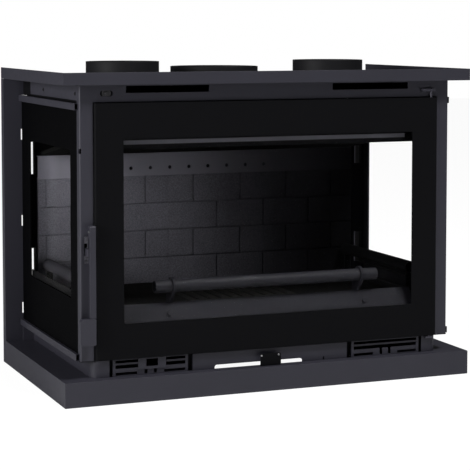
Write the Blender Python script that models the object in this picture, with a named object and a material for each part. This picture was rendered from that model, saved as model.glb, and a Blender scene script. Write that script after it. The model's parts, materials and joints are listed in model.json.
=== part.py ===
"""Wood-burning fireplace insert with a wide glass door, glazed sides and a slotted steel front.

Metres, +Z up. The front looks along -Y, the left and right are the viewer's. The origin is on
the floor, under the middle of the insert.
"""
import math

import bmesh
import bpy
from mathutils import Matrix, Vector

# The whole insert
WIDTH = 0.900
DEPTH = 0.500
CARCASS_TOP = 0.634
GAP = 0.0003            # clearance left between two pieces that touch
SHEET = 0.002           # steel sheet of the carcass
HEAVY_SHEET = 0.003     # steel sheet of the front
OVERRUN = 0.004         # how far a cut runs past what it cuts
ARC_STEPS = 4           # straight runs in a quarter turn
ROUND_STEPS = 48        # straight runs round a collar
HALF = WIDTH / 2
FRONT = -DEPTH / 2
BACK = DEPTH / 2

# Base frame, open underneath
BASE_HEIGHT = 0.050
BASE_REAR_INSET = 0.022
BASE_FRONT_LIP = 0.028
BASE_SIDE_LIP = 0.077
BASE_REAR_LIP = 0.023
BASE_BACK = BACK - BASE_REAR_INSET

# Top frame, an upstand on three sides
RIM_HEIGHT = 0.025
TOP_FLANGE = 0.060
TOP_FLANGE_BOTTOM = CARCASS_TOP + GAP

# Rear frame
REAR_LEG_WIDTH = 0.041
REAR_TOP_BAR = 0.036
NOTCH_DEPTH = 0.0025
NOTCH_LENGTH = 0.024
NOTCH_HEIGHTS = (0.111, 0.3065, 0.4985)
REAR_INNER = HALF - REAR_LEG_WIDTH
REAR_SHEET_FRONT = BASE_BACK + GAP

# Hinge line, shared by the door, the brackets and the notches round them
HINGE_SETBACK = 0.023
HINGE_INSET = 0.0128
HINGE_NOTCH_LEFT = 0.007
HINGE_NOTCH_RIGHT = 0.0045
HINGE_NOTCH_BELOW_SLOT_TOP = 0.005

# Front frame: two posts and the fascia, bent from one sheet
FACE_SETBACK = 0.025
POST_INSET = 0.039
POST_WIDTH = 0.0281
POST_RETURN = 0.017
POST_BEND = 0.004
FASCIA_HEIGHT = 0.034
FACE = FRONT + FACE_SETBACK
FACE_BACK = FACE + HEAVY_SHEET
POST_OUTER = HALF - POST_INSET
POST_INNER = POST_OUTER - POST_WIDTH
POST_BACK = FACE + POST_RETURN
FASCIA_BOTTOM = CARCASS_TOP - FASCIA_HEIGHT
LONG_SLOT_INSET = 0.0689
LONG_SLOT_LENGTH = 0.1765
LONG_SLOT_HEIGHT = 0.014
LONG_SLOT_BELOW_TOP = 0.0027
LONG_SLOT_BEND = 0.001
LONG_SLOT_OUTER = POST_INNER - LONG_SLOT_INSET
OVAL_SLOT_INSET = 0.0154
OVAL_SLOT_LENGTH = 0.0265
OVAL_SLOT_HEIGHT = 0.012
OVAL_SLOT_BELOW_TOP = 0.011
OVAL_SLOT_OUTER = POST_INNER - OVAL_SLOT_INSET
LATCH_SLOT_FROM_EDGE = 0.009
LATCH_SLOT_WIDTH = 0.0085
LATCH_SLOT_BELOW_PIVOT = 0.011
LATCH_SLOT_HEIGHT = 0.054
CORNER_NOTCH_ABOVE_PIVOT = 0.153
CORNER_NOTCH_HEIGHT = 0.010
CORNER_NOTCH_WIDTH = 0.0045
CORNER_NOTCH_DEPTH = 0.007

# Plinth under the door
PLINTH_HEIGHT = 0.034
PLINTH_SETBACK = 0.026
PLINTH_SIDE_INSET = 0.023
PLINTH_REAR_GAP = 0.008
PLINTH_REAR_FLANGE_LAP = 0.004
PLINTH_BEND = 0.018
PLINTH_CORNER_WIDTH = 0.0372
GRILLE_GAP = 0.0068
GRILLE_WIDTH = 0.160
MID_PANEL_GAP = 0.0105
MID_PANEL_RETURN = 0.0145
PLINTH_TOP = BASE_HEIGHT + PLINTH_HEIGHT
PLINTH_SIDE_OUTER = POST_OUTER - PLINTH_SIDE_INSET
PLINTH_CORNER_INNER = PLINTH_SIDE_OUTER - PLINTH_CORNER_WIDTH
GRILLE_OUTER = PLINTH_CORNER_INNER - GRILLE_GAP
GRILLE_INNER = GRILLE_OUTER - GRILLE_WIDTH
MID_PANEL_HALF = GRILLE_INNER - MID_PANEL_GAP
PLINTH_FOOT = BASE_HEIGHT + GAP
PLINTH_FACE = FRONT + PLINTH_SETBACK
PLINTH_BACK = PLINTH_FACE + SHEET
GRILLE_UPPER_ROW_HEIGHT = 0.0056
GRILLE_UPPER_ROW_BELOW_TOP = 0.0072
GRILLE_LOWER_ROW_HEIGHT = 0.0072
GRILLE_LOWER_ROW_BELOW_TOP = 0.0184
GRILLE_MARGIN = 0.0057
GRILLE_FOOT_ROW = 0.0062
GRILLE_FOOT_ROW_STANDOFF = 0.0155
GRILLE_FOOT_MARGIN = 0.0012
GRILLE_TONGUE = 0.0135
GRILLE_TONGUE_GAP = 0.0065
GRILLE_BAY_HALF = 0.024
AIR_DUCT_DEPTH = 0.090
AIR_DUCT_WALL = 0.0015
AIR_DUCT_INSET = 0.0040
AIR_DUCT_LIP = 0.0155
PULL_NOTCH_LEFT_SHARE = 0.726225
PULL_NOTCH_RIGHT_SHARE = 0.409222
PULL_NOTCH_LEFT = -MID_PANEL_HALF * PULL_NOTCH_LEFT_SHARE
PULL_NOTCH_RIGHT = MID_PANEL_HALF * PULL_NOTCH_RIGHT_SHARE
PULL_NOTCH_HEIGHT = 0.0075
PULL_NOTCH_BEND = 0.005
PULL_NOTCH_RIGHT_BEND = 0.007
DRAIN_NOTCH_SHARE = 0.677233
DRAIN_NOTCH_X = MID_PANEL_HALF * DRAIN_NOTCH_SHARE
DRAIN_NOTCH_WIDTH = 0.004
DRAIN_NOTCH_HEIGHT = 0.007

# Hearth plate that the carcass stands on, with the apron folded down behind the plinth
HEARTH_SHEET = 0.0014
HEARTH_SETBACK = 0.036
APRON_SETBACK = 0.0415
APRON_DROP = 0.006
APRON_CLEARANCE = 0.0004
APRON_SIDE_CLEARANCE = 0.002
APRON_NOTCH_SHIFT = 0.006
HEARTH_BOTTOM = PLINTH_TOP + GAP
HEARTH_TOP = HEARTH_BOTTOM + HEARTH_SHEET
CARCASS_FOOT = HEARTH_TOP + GAP

# Glazed sides
SIDE_TOP_INSET = 0.036
SIDE_REAR_GAP = 0.007
SIDE_WINDOW_FRONT = 0.089
SIDE_WINDOW_REAR_INSET = 0.073
SIDE_WINDOW_BOTTOM = 0.204
SIDE_WINDOW_BELOW_TOP = 0.096
SIDE_WINDOW_BEND = 0.003
SIDE_GLASS_THICKNESS = 0.004
SIDE_GLASS_LAP = 0.014
RETAINER_LEG = 0.010
RETAINER_SEAT = 0.027
RAIL_DEPTH = 0.0067
RAIL_HEIGHT = 0.0135
RAIL_LEAD = 0.008
RAIL_SHEET = 0.0013
SIDE_FASCIA_RISE = 0.005
SIDE_FASCIA_REAR_INSET = 0.0837
SIDE_FRAME_TOP = CARCASS_TOP - SIDE_TOP_INSET
SIDE_WINDOW_TOP = SIDE_FRAME_TOP - SIDE_WINDOW_BELOW_TOP
SIDE_WINDOW_BACK = BASE_BACK - SIDE_WINDOW_REAR_INSET
SIDE_START = POST_BACK + GAP
SIDE_END = BASE_BACK - SIDE_REAR_GAP
SIDE_FRAME_INNER = POST_OUTER - HEAVY_SHEET

# Firebox
WALL_REAR_INSET = 0.038
BRICK_THICKNESS = 0.0257
BRICK_FLOOR = 0.168
BRICK_SIDE_INSET = 0.025
BRICK_HEIGHT = 0.062
BRICK_LENGTH = 0.1157
BRICK_ROWS = 4
BRICK_COURSES = 5
TOP_ROW_SHORTFALL = 0.0041
BRICK_JOINT = 0.003
BRICK_JOINT_DEPTH = 0.003
PANEL_JOINT_X = -0.0796
BRICK_PHASE_X = -0.0190
BACK_PLATE_THICKNESS = 0.0025
AIR_STRIP_HEIGHT = 0.0517
AIR_HOLE_RADIUS = 0.00425
AIR_HOLE_SPACING = 0.04636
AIR_HOLE_COUNT = 8
AIR_HOLE_CENTRE_X = -0.0055
AIR_HOLE_RISE = 0.018
CORNER_BRICK_GAP = 0.002
CORNER_SIDE_GAP = 0.0015
CORNER_RISE = 0.019
CORNER_WING = 0.020
CORNER_SLOT_WIDTH = 0.013
CORNER_SLOT_LENGTH = 0.071
CORNER_SLOT_HEIGHTS = (0.191, 0.4255)
BAFFLE_THICKNESS = 0.008
BAFFLE_REACH = 0.240
BAFFLE_RISE = 0.040
BAFFLE_SIDE_GAP = 0.003
ROOF_FRONT = 0.038
CASING_INSET = 0.028
CASING_DEPTH = 0.026
CASING_FLANGE = 0.020
CASING_SHEET = 0.0015
CASING_BOTTOM = 0.110
CASING_BELOW_TOP = 0.044
WALL_FACE = BASE_BACK - WALL_REAR_INSET
BRICK_BACK = WALL_FACE + BRICK_THICKNESS
BRICK_HALF_WIDTH = SIDE_FRAME_INNER - BRICK_SIDE_INSET
BRICK_TOP = BRICK_FLOOR + BRICK_ROWS * BRICK_HEIGHT - TOP_ROW_SHORTFALL
CORNER_INNER = BRICK_HALF_WIDTH + CORNER_BRICK_GAP
CORNER_OUTER = SIDE_FRAME_INNER - CORNER_SIDE_GAP
BACK_PLATE_HALF = BRICK_HALF_WIDTH
BACK_PLATE_FRONT = BRICK_BACK + GAP
BACK_PLATE_BACK = BACK_PLATE_FRONT + BACK_PLATE_THICKNESS
CASING_HALF = BACK_PLATE_HALF - CASING_INSET
STRIP_BOTTOM = BRICK_TOP + GAP
STRIP_TOP = STRIP_BOTTOM + AIR_STRIP_HEIGHT
ROOF_HALF = SIDE_FRAME_INNER - GAP
ROOF_BOTTOM = SIDE_FRAME_TOP + GAP
ROOF_TOP = ROOF_BOTTOM + SHEET

# Fire bed
STONE_THICKNESS = 0.025
STONE_FRONT = 0.062
STONE_SIDE_GAP = 0.003
GRATE_HALF_WIDTH = 0.124
GRATE_FRONT = 0.165
GRATE_LENGTH = 0.180
GRATE_THICKNESS = 0.012
GRATE_LEDGE = 0.010
GRATE_SLOT = 0.008
GRATE_SLOTS = 9
GRATE_SLOT_MARGIN = 0.016
HOUSING_CLEARANCE = 0.016
HOUSING_FLANGE = 0.060
HOUSING_FRONT = 0.070
HOUSING_WALL_GAP = 0.010
ASH_PAN_CLEARANCE = 0.004
ASH_PAN_END_GAP = 0.010
ASH_PAN_HEIGHT = 0.042
ASH_PAN_WALL = 0.0015
LIP_HEIGHT = 0.039
LIP_TOP_SETBACK = 0.052
LIP_FOOT_SETBACK = 0.0315
LIP_SIDE_GAP = 0.004
SIDE_LIP_INSET = 0.063
SIDE_LIP_FOOT = 0.034
SIDE_LIP_HEIGHT = 0.0097
SIDE_LIP_FRONT = 0.090
SIDE_LIP_WALL_GAP = 0.004
TUBE_RADIUS = 0.013
TUBE_WALL = 0.002
TUBE_RISE = 0.055
FRONT_TUBE_SETBACK = 0.046
FRONT_TUBE_INSET = 0.085
TUBE_BRACKET_INSET = 0.041
TUBE_BRACKET_WIDTH = 0.006
TUBE_BRACKET_FOOT = 0.012
TUBE_BRACKET_RIM = 0.005
TUBE_BRACKET_ANGLES = (30, 45, 60, 75, 90, 105, 120, 135, 150, 165, 180, 195, 210, 225)
SIDE_TUBE_INSET = 0.045
SIDE_TUBE_FRONT = 0.100
SIDE_TUBE_WALL_GAP = 0.010
SIDE_TUBE_STAY_INSET = 0.010
SIDE_TUBE_STAY = 0.004
STONE_TOP = BRICK_FLOOR
STONE_BOTTOM = STONE_TOP - STONE_THICKNESS
STONE_HALF = BRICK_HALF_WIDTH - STONE_SIDE_GAP
HOUSING_HALF = GRATE_HALF_WIDTH + HOUSING_CLEARANCE
SIDE_LIP_X = SIDE_FRAME_INNER - SIDE_LIP_INSET
SIDE_TUBE_X = SIDE_FRAME_INNER - SIDE_TUBE_INSET
TUBE_HEIGHT = STONE_TOP + TUBE_RISE

# Collars on the cover plate
FLUE_RADIUS = 0.0977
FLUE_FROM_WALL = 0.085
FLUE_RISE = 0.027
FLUE_WALL = 0.0025
DUCT_RADIUS = 0.0782
DUCT_INSET = 0.209
DUCT_FROM_WALL = 0.167
DUCT_RISE = 0.041
DUCT_FLANGE = 0.007
FLUE_Y = WALL_FACE - FLUE_FROM_WALL
DUCT_X = HALF - DUCT_INSET
DUCT_Y = WALL_FACE - DUCT_FROM_WALL

# Door
DOOR_SETBACK = 0.018
DOOR_SIDE_GAP = 0.0014
DOOR_DEPTH = 0.012
DOOR_SHEET = 0.0025
DOOR_BEND = 0.004
WINDOW_BORDER = 0.0595
WINDOW_BOTTOM_BORDER = 0.071
WINDOW_TOP_BORDER = 0.072
WINDOW_BEND = 0.003
DOOR_GLASS_THICKNESS = 0.004
DOOR_GLASS_LAP = 0.013
RETAINER_LAP = 0.004
RETAINER_REACH = 0.017
RETAINER_SHEET = 0.002
GASKET_INSET = 0.0395
GASKET_WIDTH = 0.014
GASKET_BOTTOM_INSET = 0.026
GASKET_TOP_INSET = 0.028
GASKET_BEND = 0.005
GASKET_SQUEEZE = 0.0003
DOOR_HALF = POST_INNER - DOOR_SIDE_GAP
DOOR_BOTTOM = CARCASS_FOOT
DOOR_TOP = SIDE_FRAME_TOP
DOOR_FACE = FRONT + DOOR_SETBACK
DOOR_BACK = DOOR_FACE + DOOR_DEPTH
DOOR_PLATE_BACK = DOOR_FACE + DOOR_SHEET
WINDOW_HALF = DOOR_HALF - WINDOW_BORDER
WINDOW_BOTTOM = DOOR_BOTTOM + WINDOW_BOTTOM_BORDER
WINDOW_TOP = DOOR_TOP - WINDOW_TOP_BORDER
GASKET_INNER = DOOR_HALF - GASKET_INSET
GASKET_BOTTOM = DOOR_BOTTOM + GASKET_BOTTOM_INSET
GASKET_TOP = DOOR_TOP - GASKET_TOP_INSET

# Seal frame behind the door, and the guide that washes the glass with air
SEAL_SETBACK = 0.038
SEAL_SIDE_GAP = 0.0009
SEAL_RIM = 0.044
SEAL_BELOW_WINDOW = 0.007
SEAL_ABOVE_WINDOW = 0.009
GUIDE_LAP = 0.010
GUIDE_DROP = 0.013
GUIDE_RISE = 0.020
GUIDE_DEPTH = 0.020
GUIDE_LIP = 0.006
SEAL_HALF = POST_INNER - SEAL_SIDE_GAP
SEAL_OPENING_HALF = SEAL_HALF - SEAL_RIM
SEAL_OPENING_BOTTOM = WINDOW_BOTTOM - SEAL_BELOW_WINDOW
SEAL_OPENING_TOP = WINDOW_TOP - SEAL_ABOVE_WINDOW
SEAL_FACE = FRONT + SEAL_SETBACK
SEAL_BACK = SEAL_FACE + HEAVY_SHEET
LIP_FOOT = SEAL_OPENING_BOTTOM + GAP
LIP_TOP = LIP_FOOT + LIP_HEIGHT
LIP_HALF = SEAL_OPENING_HALF - LIP_SIDE_GAP
FRONT_TUBE_HALF = LIP_HALF - FRONT_TUBE_INSET
TUBE_BRACKET_INNER = FRONT_TUBE_HALF - TUBE_BRACKET_INSET

# Hinges
PIN_RADIUS = 0.0025
PIN_CLEARANCE = 0.0003
HINGE_BLOCK_LEFT = 0.010
HINGE_BLOCK_HEIGHT = 0.018
HINGE_ARM_LEFT = 0.0215
HINGE_ARM_RIGHT = 0.0085
HINGE_ARM_FRONT = 0.020
HINGE_ARM_THICKNESS = 0.0053
HINGE_FOOT_LEFT = 0.028
HINGE_FOOT_RIGHT = 0.001
HINGE_FOOT_HEIGHT = 0.030
LOWER_ARM_THICKNESS = 0.004
LOWER_ARM_SIDE = 0.010
LOWER_ARM_BACK = 0.041
PIN_IN_BLOCK = 0.012
HINGE_X = DOOR_HALF - HINGE_INSET
HINGE_Y = FRONT + HINGE_SETBACK

# Handle and latch
PIVOT_OUTSET = 0.0085
PIVOT_SETBACK = 0.010
PIVOT_RISE = 0.260
EAR_WIDTH = 0.0021
EAR_HALF_HEIGHT = 0.010
EAR_FRONT = 0.004
EAR_BACK = 0.0235
LEVER_OUTSET = 0.0145
LEVER_FRONT = 0.004
LEVER_BACK = 0.011
LEVER_DROP = 0.172
LEVER_HEAD = 0.0115
LEVER_HEAD_BACK = 0.0175
GRIP_OUTSET = 0.0365
GRIP_WIDTH = 0.033
GRIP_HEIGHT = 0.053
GRIP_FRONT = 0.0015
GRIP_BACK = 0.014
GRIP_BEND = 0.008
HOOK_WIDTH = 0.004
HOOK_DROP = 0.034
HOOK_HEIGHT = 0.016
HOOK_REACH = 0.0375
HOOK_TIP = 0.006
KEEPER_RADIUS = 0.004
KEEPER_SETBACK = 0.0325
KEEPER_PLATE = 0.002
KEEPER_PLATE_HALF = 0.015
KEEPER_STANDOFF = 0.0035
PIVOT_X = -DOOR_HALF - PIVOT_OUTSET
PIVOT_Y = FRONT + PIVOT_SETBACK
PIVOT_Z = DOOR_BOTTOM + PIVOT_RISE
LEVER_OUTER = -DOOR_HALF - LEVER_OUTSET
LEVER_BOTTOM = PIVOT_Z - LEVER_DROP
GRIP_LEFT = -DOOR_HALF - GRIP_OUTSET
GRIP_RIGHT = GRIP_LEFT + GRIP_WIDTH
GRIP_BOTTOM = LEVER_BOTTOM - GRIP_HEIGHT
HOOK_TOP = PIVOT_Z - HOOK_DROP
HOOK_BOTTOM = HOOK_TOP - HOOK_HEIGHT
LATCH_SLOT_TOP = PIVOT_Z - LATCH_SLOT_BELOW_PIVOT

# Air controls
SLIDE_HALF = 0.060
SLIDE_BAR_RISE = 0.0125
SLIDE_BAR_HEIGHT = 0.0175
SLIDE_BAR_THICKNESS = 0.0025
SLIDE_NECK_LEFT = -0.022
SLIDE_NECK_RIGHT = 0.008
SLIDE_NECK_RISE = 0.0015
SLIDE_NECK_HEIGHT = 0.0045
PULL_LEFT = -0.030
PULL_RIGHT = 0.016
PULL_SETBACK = 0.012
PULL_THICKNESS = 0.002
PULL_RISE = 0.0008
PULL_HEIGHT = 0.0252
PULL_BEND = 0.004
REGISTER_LEFT_SHARE = 0.893372
REGISTER_RIGHT_SHARE = 0.720461
REGISTER_LEFT = -MID_PANEL_HALF * REGISTER_LEFT_SHARE
REGISTER_RIGHT = MID_PANEL_HALF * REGISTER_RIGHT_SHARE
REGISTER_WALL = 0.0015
REGISTER_SLOT_HALF = 0.018
REGISTER_SLOT_HEIGHT = 0.008
REGISTER_SLOT_MIDDLE_SHARES = (-0.432277, 0.0, 0.432277)
SHUTTER_INSET = 0.053
SHUTTER_WIDTH = 0.059
SHUTTER_RISE = 0.0113
SHUTTER_THICKNESS = 0.0015
SHUTTER_HOLE_INSET = 0.017
SHUTTER_HOLE_WIDTH = 0.025
SHUTTER_HOLE_RISE = 0.0168
SHUTTER_HOLE_HEIGHT = 0.0152
SHUTTER_STEM_HALF = 0.004
SHUTTER_STEM_INSET = 0.0085
SHUTTER_HEAD_THICKNESS = 0.0015
SLIDE_BAR_BOTTOM = BASE_HEIGHT + SLIDE_BAR_RISE
SLIDE_BAR_TOP = SLIDE_BAR_BOTTOM + SLIDE_BAR_HEIGHT
SLIDE_NECK_BOTTOM = BASE_HEIGHT + SLIDE_NECK_RISE
SHUTTER_LEFT = SHUTTER_INSET - GRILLE_OUTER
SHUTTER_RIGHT = SHUTTER_LEFT + SHUTTER_WIDTH
SHUTTER_BOTTOM = BASE_HEIGHT + SHUTTER_RISE


def material(name, colour, roughness, metallic=0.0):
    """A plain finish of the real piece's colour."""
    finish = bpy.data.materials.new(name)
    finish.use_nodes = True
    shader = finish.node_tree.nodes["Principled BSDF"]
    shader.inputs["Base Color"].default_value = (*colour, 1.0)
    shader.inputs["Roughness"].default_value = roughness
    shader.inputs["Metallic"].default_value = metallic
    finish.diffuse_color = (*colour, 1.0)
    return finish


def place(axis, u, v, along):
    """A point of a drawing plane square to the axis: (Y, Z), (X, Z) or (X, Y)."""
    return {"X": (along, u, v), "Y": (u, along, v), "Z": (u, v, along)}[axis]


def rectangle(left, bottom, right, top):
    return [(left, bottom), (right, bottom), (right, top), (left, top)]


def rounded(points, radius, steps=ARC_STEPS):
    """The closed outline with an arc of the radius, or of one for each corner, at its corners."""
    radii = radius if isinstance(radius, (list, tuple)) else [radius] * len(points)
    outline = []
    for index, corner in enumerate(points):
        if not radii[index]:
            outline.append(tuple(corner))
            continue
        outline += corner_arc(points[index - 1], corner, points[(index + 1) % len(points)],
                              radii[index], steps)
    return outline


def corner_arc(before, corner, after, radius, steps=ARC_STEPS):
    """The arc that rounds one corner of a path."""
    corner = Vector(corner)
    inward = (Vector(before) - corner).normalized()
    outward = (Vector(after) - corner).normalized()
    half_angle = inward.angle(outward) / 2
    centre = corner + (inward + outward).normalized() * radius / math.sin(half_angle)
    start = corner + inward * radius / math.tan(half_angle) - centre
    end = corner + outward * radius / math.tan(half_angle) - centre
    turn = start.angle_signed(end)
    return [tuple(centre + Matrix.Rotation(-turn * step / steps, 2) @ start)
            for step in range(steps + 1)]


def circle(u, v, radius, steps=ROUND_STEPS):
    return [(u + radius * math.cos(2 * math.pi * step / steps),
             v + radius * math.sin(2 * math.pi * step / steps)) for step in range(steps)]


def oblong(left, bottom, right, top):
    """A slot with round ends."""
    radius = (top - bottom) / 2 - GAP
    return rounded(rectangle(left, bottom, right, top), radius, ARC_STEPS)


def folded(path, thickness, bend=0.0):
    """The section of a sheet folded along a path, with its thickness to the left of the path."""
    line = [Vector(path[0])]
    for before, corner, after in zip(path, path[1:], path[2:]):
        line += [Vector(p) for p in corner_arc(before, corner, after, bend)] if bend else [Vector(corner)]
    line.append(Vector(path[-1]))
    offset = []
    for index, point in enumerate(line):
        ways = []
        if index:
            ways.append((point - line[index - 1]).normalized())
        if index + 1 < len(line):
            ways.append((line[index + 1] - point).normalized())
        normals = [Vector((-way.y, way.x)) for way in ways]
        middle = sum(normals, Vector((0, 0))).normalized()
        offset.append(point + middle * thickness / middle.dot(normals[0]))
    return [tuple(p) for p in line] + [tuple(p) for p in reversed(offset)]


def mesh_object(name, bm, finish=None):
    bmesh.ops.recalc_face_normals(bm, faces=bm.faces)
    mesh = bpy.data.meshes.new(name)
    bm.to_mesh(mesh)
    bm.free()
    piece = bpy.data.objects.new(name, mesh)
    bpy.context.scene.collection.objects.link(piece)
    if finish:
        mesh.materials.append(finish)
    return piece


def prism(name, axis, outline, low, high, finish=None, holes=()):
    """A drawing with holes, extruded from low to high along the axis."""
    bm = bmesh.new()
    edges = []
    for loop in (outline, *holes):
        corners = [bm.verts.new(place(axis, u, v, low)) for u, v in loop]
        edges += [bm.edges.new(pair) for pair in zip(corners, corners[1:] + corners[:1])]
    if holes:
        filled = bmesh.ops.triangle_fill(bm, use_beauty=True, edges=edges)["geom"]
        faces = [item for item in filled if isinstance(item, bmesh.types.BMFace)]
    else:
        faces = [bm.faces.new(corners)]
    grown = bmesh.ops.extrude_face_region(bm, geom=faces)["geom"]
    moved = [item for item in grown if isinstance(item, bmesh.types.BMVert)]
    bmesh.ops.translate(bm, verts=moved, vec=place(axis, 0, 0, high - low))
    return mesh_object(name, bm, finish)


def turned(name, profile, centre, finish=None, turn=Matrix.Identity(3), steps=ROUND_STEPS):
    """A closed profile of (radius, height) spun round an upright axis, then turned and placed."""
    bm = bmesh.new()
    corners = [bm.verts.new((radius, 0, height)) for radius, height in profile]
    edges = [bm.edges.new(pair) for pair in zip(corners, corners[1:] + corners[:1])]
    bmesh.ops.spin(bm, geom=corners + edges, axis=(0, 0, 1), cent=(0, 0, 0), angle=2 * math.pi,
                   steps=steps, use_merge=True)
    bmesh.ops.remove_doubles(bm, verts=bm.verts, dist=GAP / 10)
    bmesh.ops.rotate(bm, verts=bm.verts, cent=(0, 0, 0), matrix=turn)
    bmesh.ops.translate(bm, verts=bm.verts, vec=centre)
    piece = mesh_object(name, bm, finish)
    piece.data.shade_smooth()
    piece.data.set_sharp_from_angle(angle=math.radians(30))
    return piece


def combined(piece, operation, *others):
    """Cuts the other shapes from the piece, or welds them on."""
    for other in others:
        other.hide_render = True
        other.display_type = "WIRE"
        step = piece.modifiers.new(other.name, "BOOLEAN")
        step.operation = operation
        step.object = other
        step.solver = "EXACT"
    return piece


def cut(piece, *cutters):
    return combined(piece, "DIFFERENCE", *cutters)


def weld(piece, *others):
    return combined(piece, "UNION", *others)


def mirrored(outline):
    """An outline of (X, other) drawn on the other side of the middle."""
    return [(-u, v) for u, v in reversed(outline)]


def on_side(side, outline):
    return outline if side > 0 else mirrored(outline)


def span(side, inner, outer):
    """The low and high X of a band on the left (-1) or right (+1) side."""
    return sorted((side * inner, side * outer))


def carried_by(parent, *pieces):
    for piece in pieces:
        piece.parent = parent
        piece.matrix_parent_inverse = Matrix.Translation(-parent.location)


def joint_empty(name, location):
    empty = bpy.data.objects.new(name, None)
    empty.location = location
    bpy.context.scene.collection.objects.link(empty)
    return empty


SIDES = (("left", -1), ("right", 1))


def base_frame(steel):
    """A mitred angle ring, whose top flange has its own width on each side."""
    section = [("outer", 0), ("outer", BASE_HEIGHT), ("lip", BASE_HEIGHT), ("lip", BASE_HEIGHT - SHEET),
               ("wall", BASE_HEIGHT - SHEET), ("wall", 0)]
    inset = {"outer": (0, 0, 0), "wall": (SHEET, SHEET, SHEET),
             "lip": (BASE_SIDE_LIP, BASE_FRONT_LIP, BASE_REAR_LIP)}
    rings = []
    for side, front in ((-1, True), (1, True), (1, False), (-1, False)):
        ring = []
        for edge, height in section:
            across, ahead, behind = inset[edge]
            depth = FRONT + ahead if front else BASE_BACK - behind
            ring.append((side * (HALF - across), depth, height))
        rings.append(ring)
    return swept("base_frame", rings, steel, closed=True)


def swept(name, rings, finish, closed=False):
    """Joins a row of equal section loops, mitred where they turn, into one bar."""
    bm = bmesh.new()
    loops = [[bm.verts.new(point) for point in ring] for ring in rings]
    pairs = list(zip(loops, loops[1:]))
    if closed:
        pairs.append((loops[-1], loops[0]))
    for here, there in pairs:
        for index, corner in enumerate(here):
            bm.faces.new((here[index - 1], corner, there[index], there[index - 1]))
    if not closed:
        bm.faces.new(loops[0])
        bm.faces.new(loops[-1])
    return mesh_object(name, bm, finish)


def top_frame(steel):
    """The rim round the front and sides, with its flange turned in underneath."""
    low = TOP_FLANGE_BOTTOM
    high = CARCASS_TOP + RIM_HEIGHT
    section = [(0, low), (0, high), (SHEET, high), (SHEET, low + SHEET), (TOP_FLANGE, low + SHEET),
               (TOP_FLANGE, low)]
    rings = []
    for side, front in ((-1, False), (-1, True), (1, True), (1, False)):
        rings.append([(side * (HALF - inset), FRONT + inset if front else BACK, height)
                      for inset, height in section])
    return swept("top_frame", rings, steel)


def rear_frame(steel):
    """Two legs and their cross bars, folded back at the sides, notched along the inner edges."""
    path = [(HALF, BACK), (HALF, REAR_SHEET_FRONT), (-HALF, REAR_SHEET_FRONT), (-HALF, BACK)]
    sheet = folded([(x, y) for x, y in reversed(path)], SHEET)
    frame = prism("rear_frame", "Z", sheet, 0, CARCASS_TOP, steel)
    low, high = BASE_HEIGHT, CARCASS_TOP - REAR_TOP_BAR
    outline = [(REAR_INNER, low)]
    for bottom in NOTCH_HEIGHTS:
        outline += [(REAR_INNER, bottom), (REAR_INNER + NOTCH_DEPTH, bottom),
                    (REAR_INNER + NOTCH_DEPTH, bottom + NOTCH_LENGTH),
                    (REAR_INNER, bottom + NOTCH_LENGTH)]
    outline.append((REAR_INNER, high))
    opening = outline + mirrored(outline)
    cutter = prism("rear_opening", "Y", opening, REAR_SHEET_FRONT - OVERRUN,
                   REAR_SHEET_FRONT + SHEET + OVERRUN)
    return cut(frame, cutter)


def front_frame(steel):
    """Posts and fascia bent from one sheet, with the slots over the door and in the left post."""
    path = [(-POST_OUTER, POST_BACK), (-POST_OUTER, FACE), (POST_OUTER, FACE), (POST_OUTER, POST_BACK)]
    sheet = folded(path, HEAVY_SHEET, POST_BEND)
    frame = prism("front_frame", "Z", sheet, CARCASS_FOOT, CARCASS_TOP, steel)
    ahead, behind = FACE - OVERRUN, FACE_BACK + OVERRUN
    cutters = [prism("door_opening", "Y",
                     rectangle(-POST_INNER, CARCASS_FOOT - OVERRUN, POST_INNER, FASCIA_BOTTOM),
                     ahead, behind)]
    long_top = CARCASS_TOP - LONG_SLOT_BELOW_TOP
    oval_top = CARCASS_TOP - OVAL_SLOT_BELOW_TOP
    for name, side in SIDES:
        left, right = span(side, LONG_SLOT_OUTER - LONG_SLOT_LENGTH, LONG_SLOT_OUTER)
        slot = rounded(rectangle(left, long_top - LONG_SLOT_HEIGHT, right, long_top), LONG_SLOT_BEND)
        cutters.append(prism(name + "_long_slot", "Y", slot, ahead, behind))
        left, right = span(side, OVAL_SLOT_OUTER - OVAL_SLOT_LENGTH, OVAL_SLOT_OUTER)
        slot = oblong(left, oval_top - OVAL_SLOT_HEIGHT, right, oval_top)
        cutters.append(prism(name + "_oval_slot", "Y", slot, ahead, behind))
    notch = rectangle(HINGE_X - HINGE_NOTCH_LEFT, FASCIA_BOTTOM - OVERRUN, HINGE_X + HINGE_NOTCH_RIGHT,
                      oval_top - HINGE_NOTCH_BELOW_SLOT_TOP)
    cutters.append(prism("hinge_notch", "Y", notch, ahead, behind))
    slot_left = -POST_OUTER + LATCH_SLOT_FROM_EDGE
    slot = rectangle(slot_left, LATCH_SLOT_TOP - LATCH_SLOT_HEIGHT, slot_left + LATCH_SLOT_WIDTH,
                     LATCH_SLOT_TOP)
    cutters.append(prism("latch_slot", "Y", slot, ahead, behind))
    notch_foot = PIVOT_Z + CORNER_NOTCH_ABOVE_PIVOT
    notch = rectangle(-POST_OUTER - OVERRUN, notch_foot, -POST_OUTER + CORNER_NOTCH_WIDTH,
                      notch_foot + CORNER_NOTCH_HEIGHT)
    cutters.append(prism("corner_notch", "Y", notch, ahead, FACE + CORNER_NOTCH_DEPTH))
    return cut(frame, *cutters)


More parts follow.
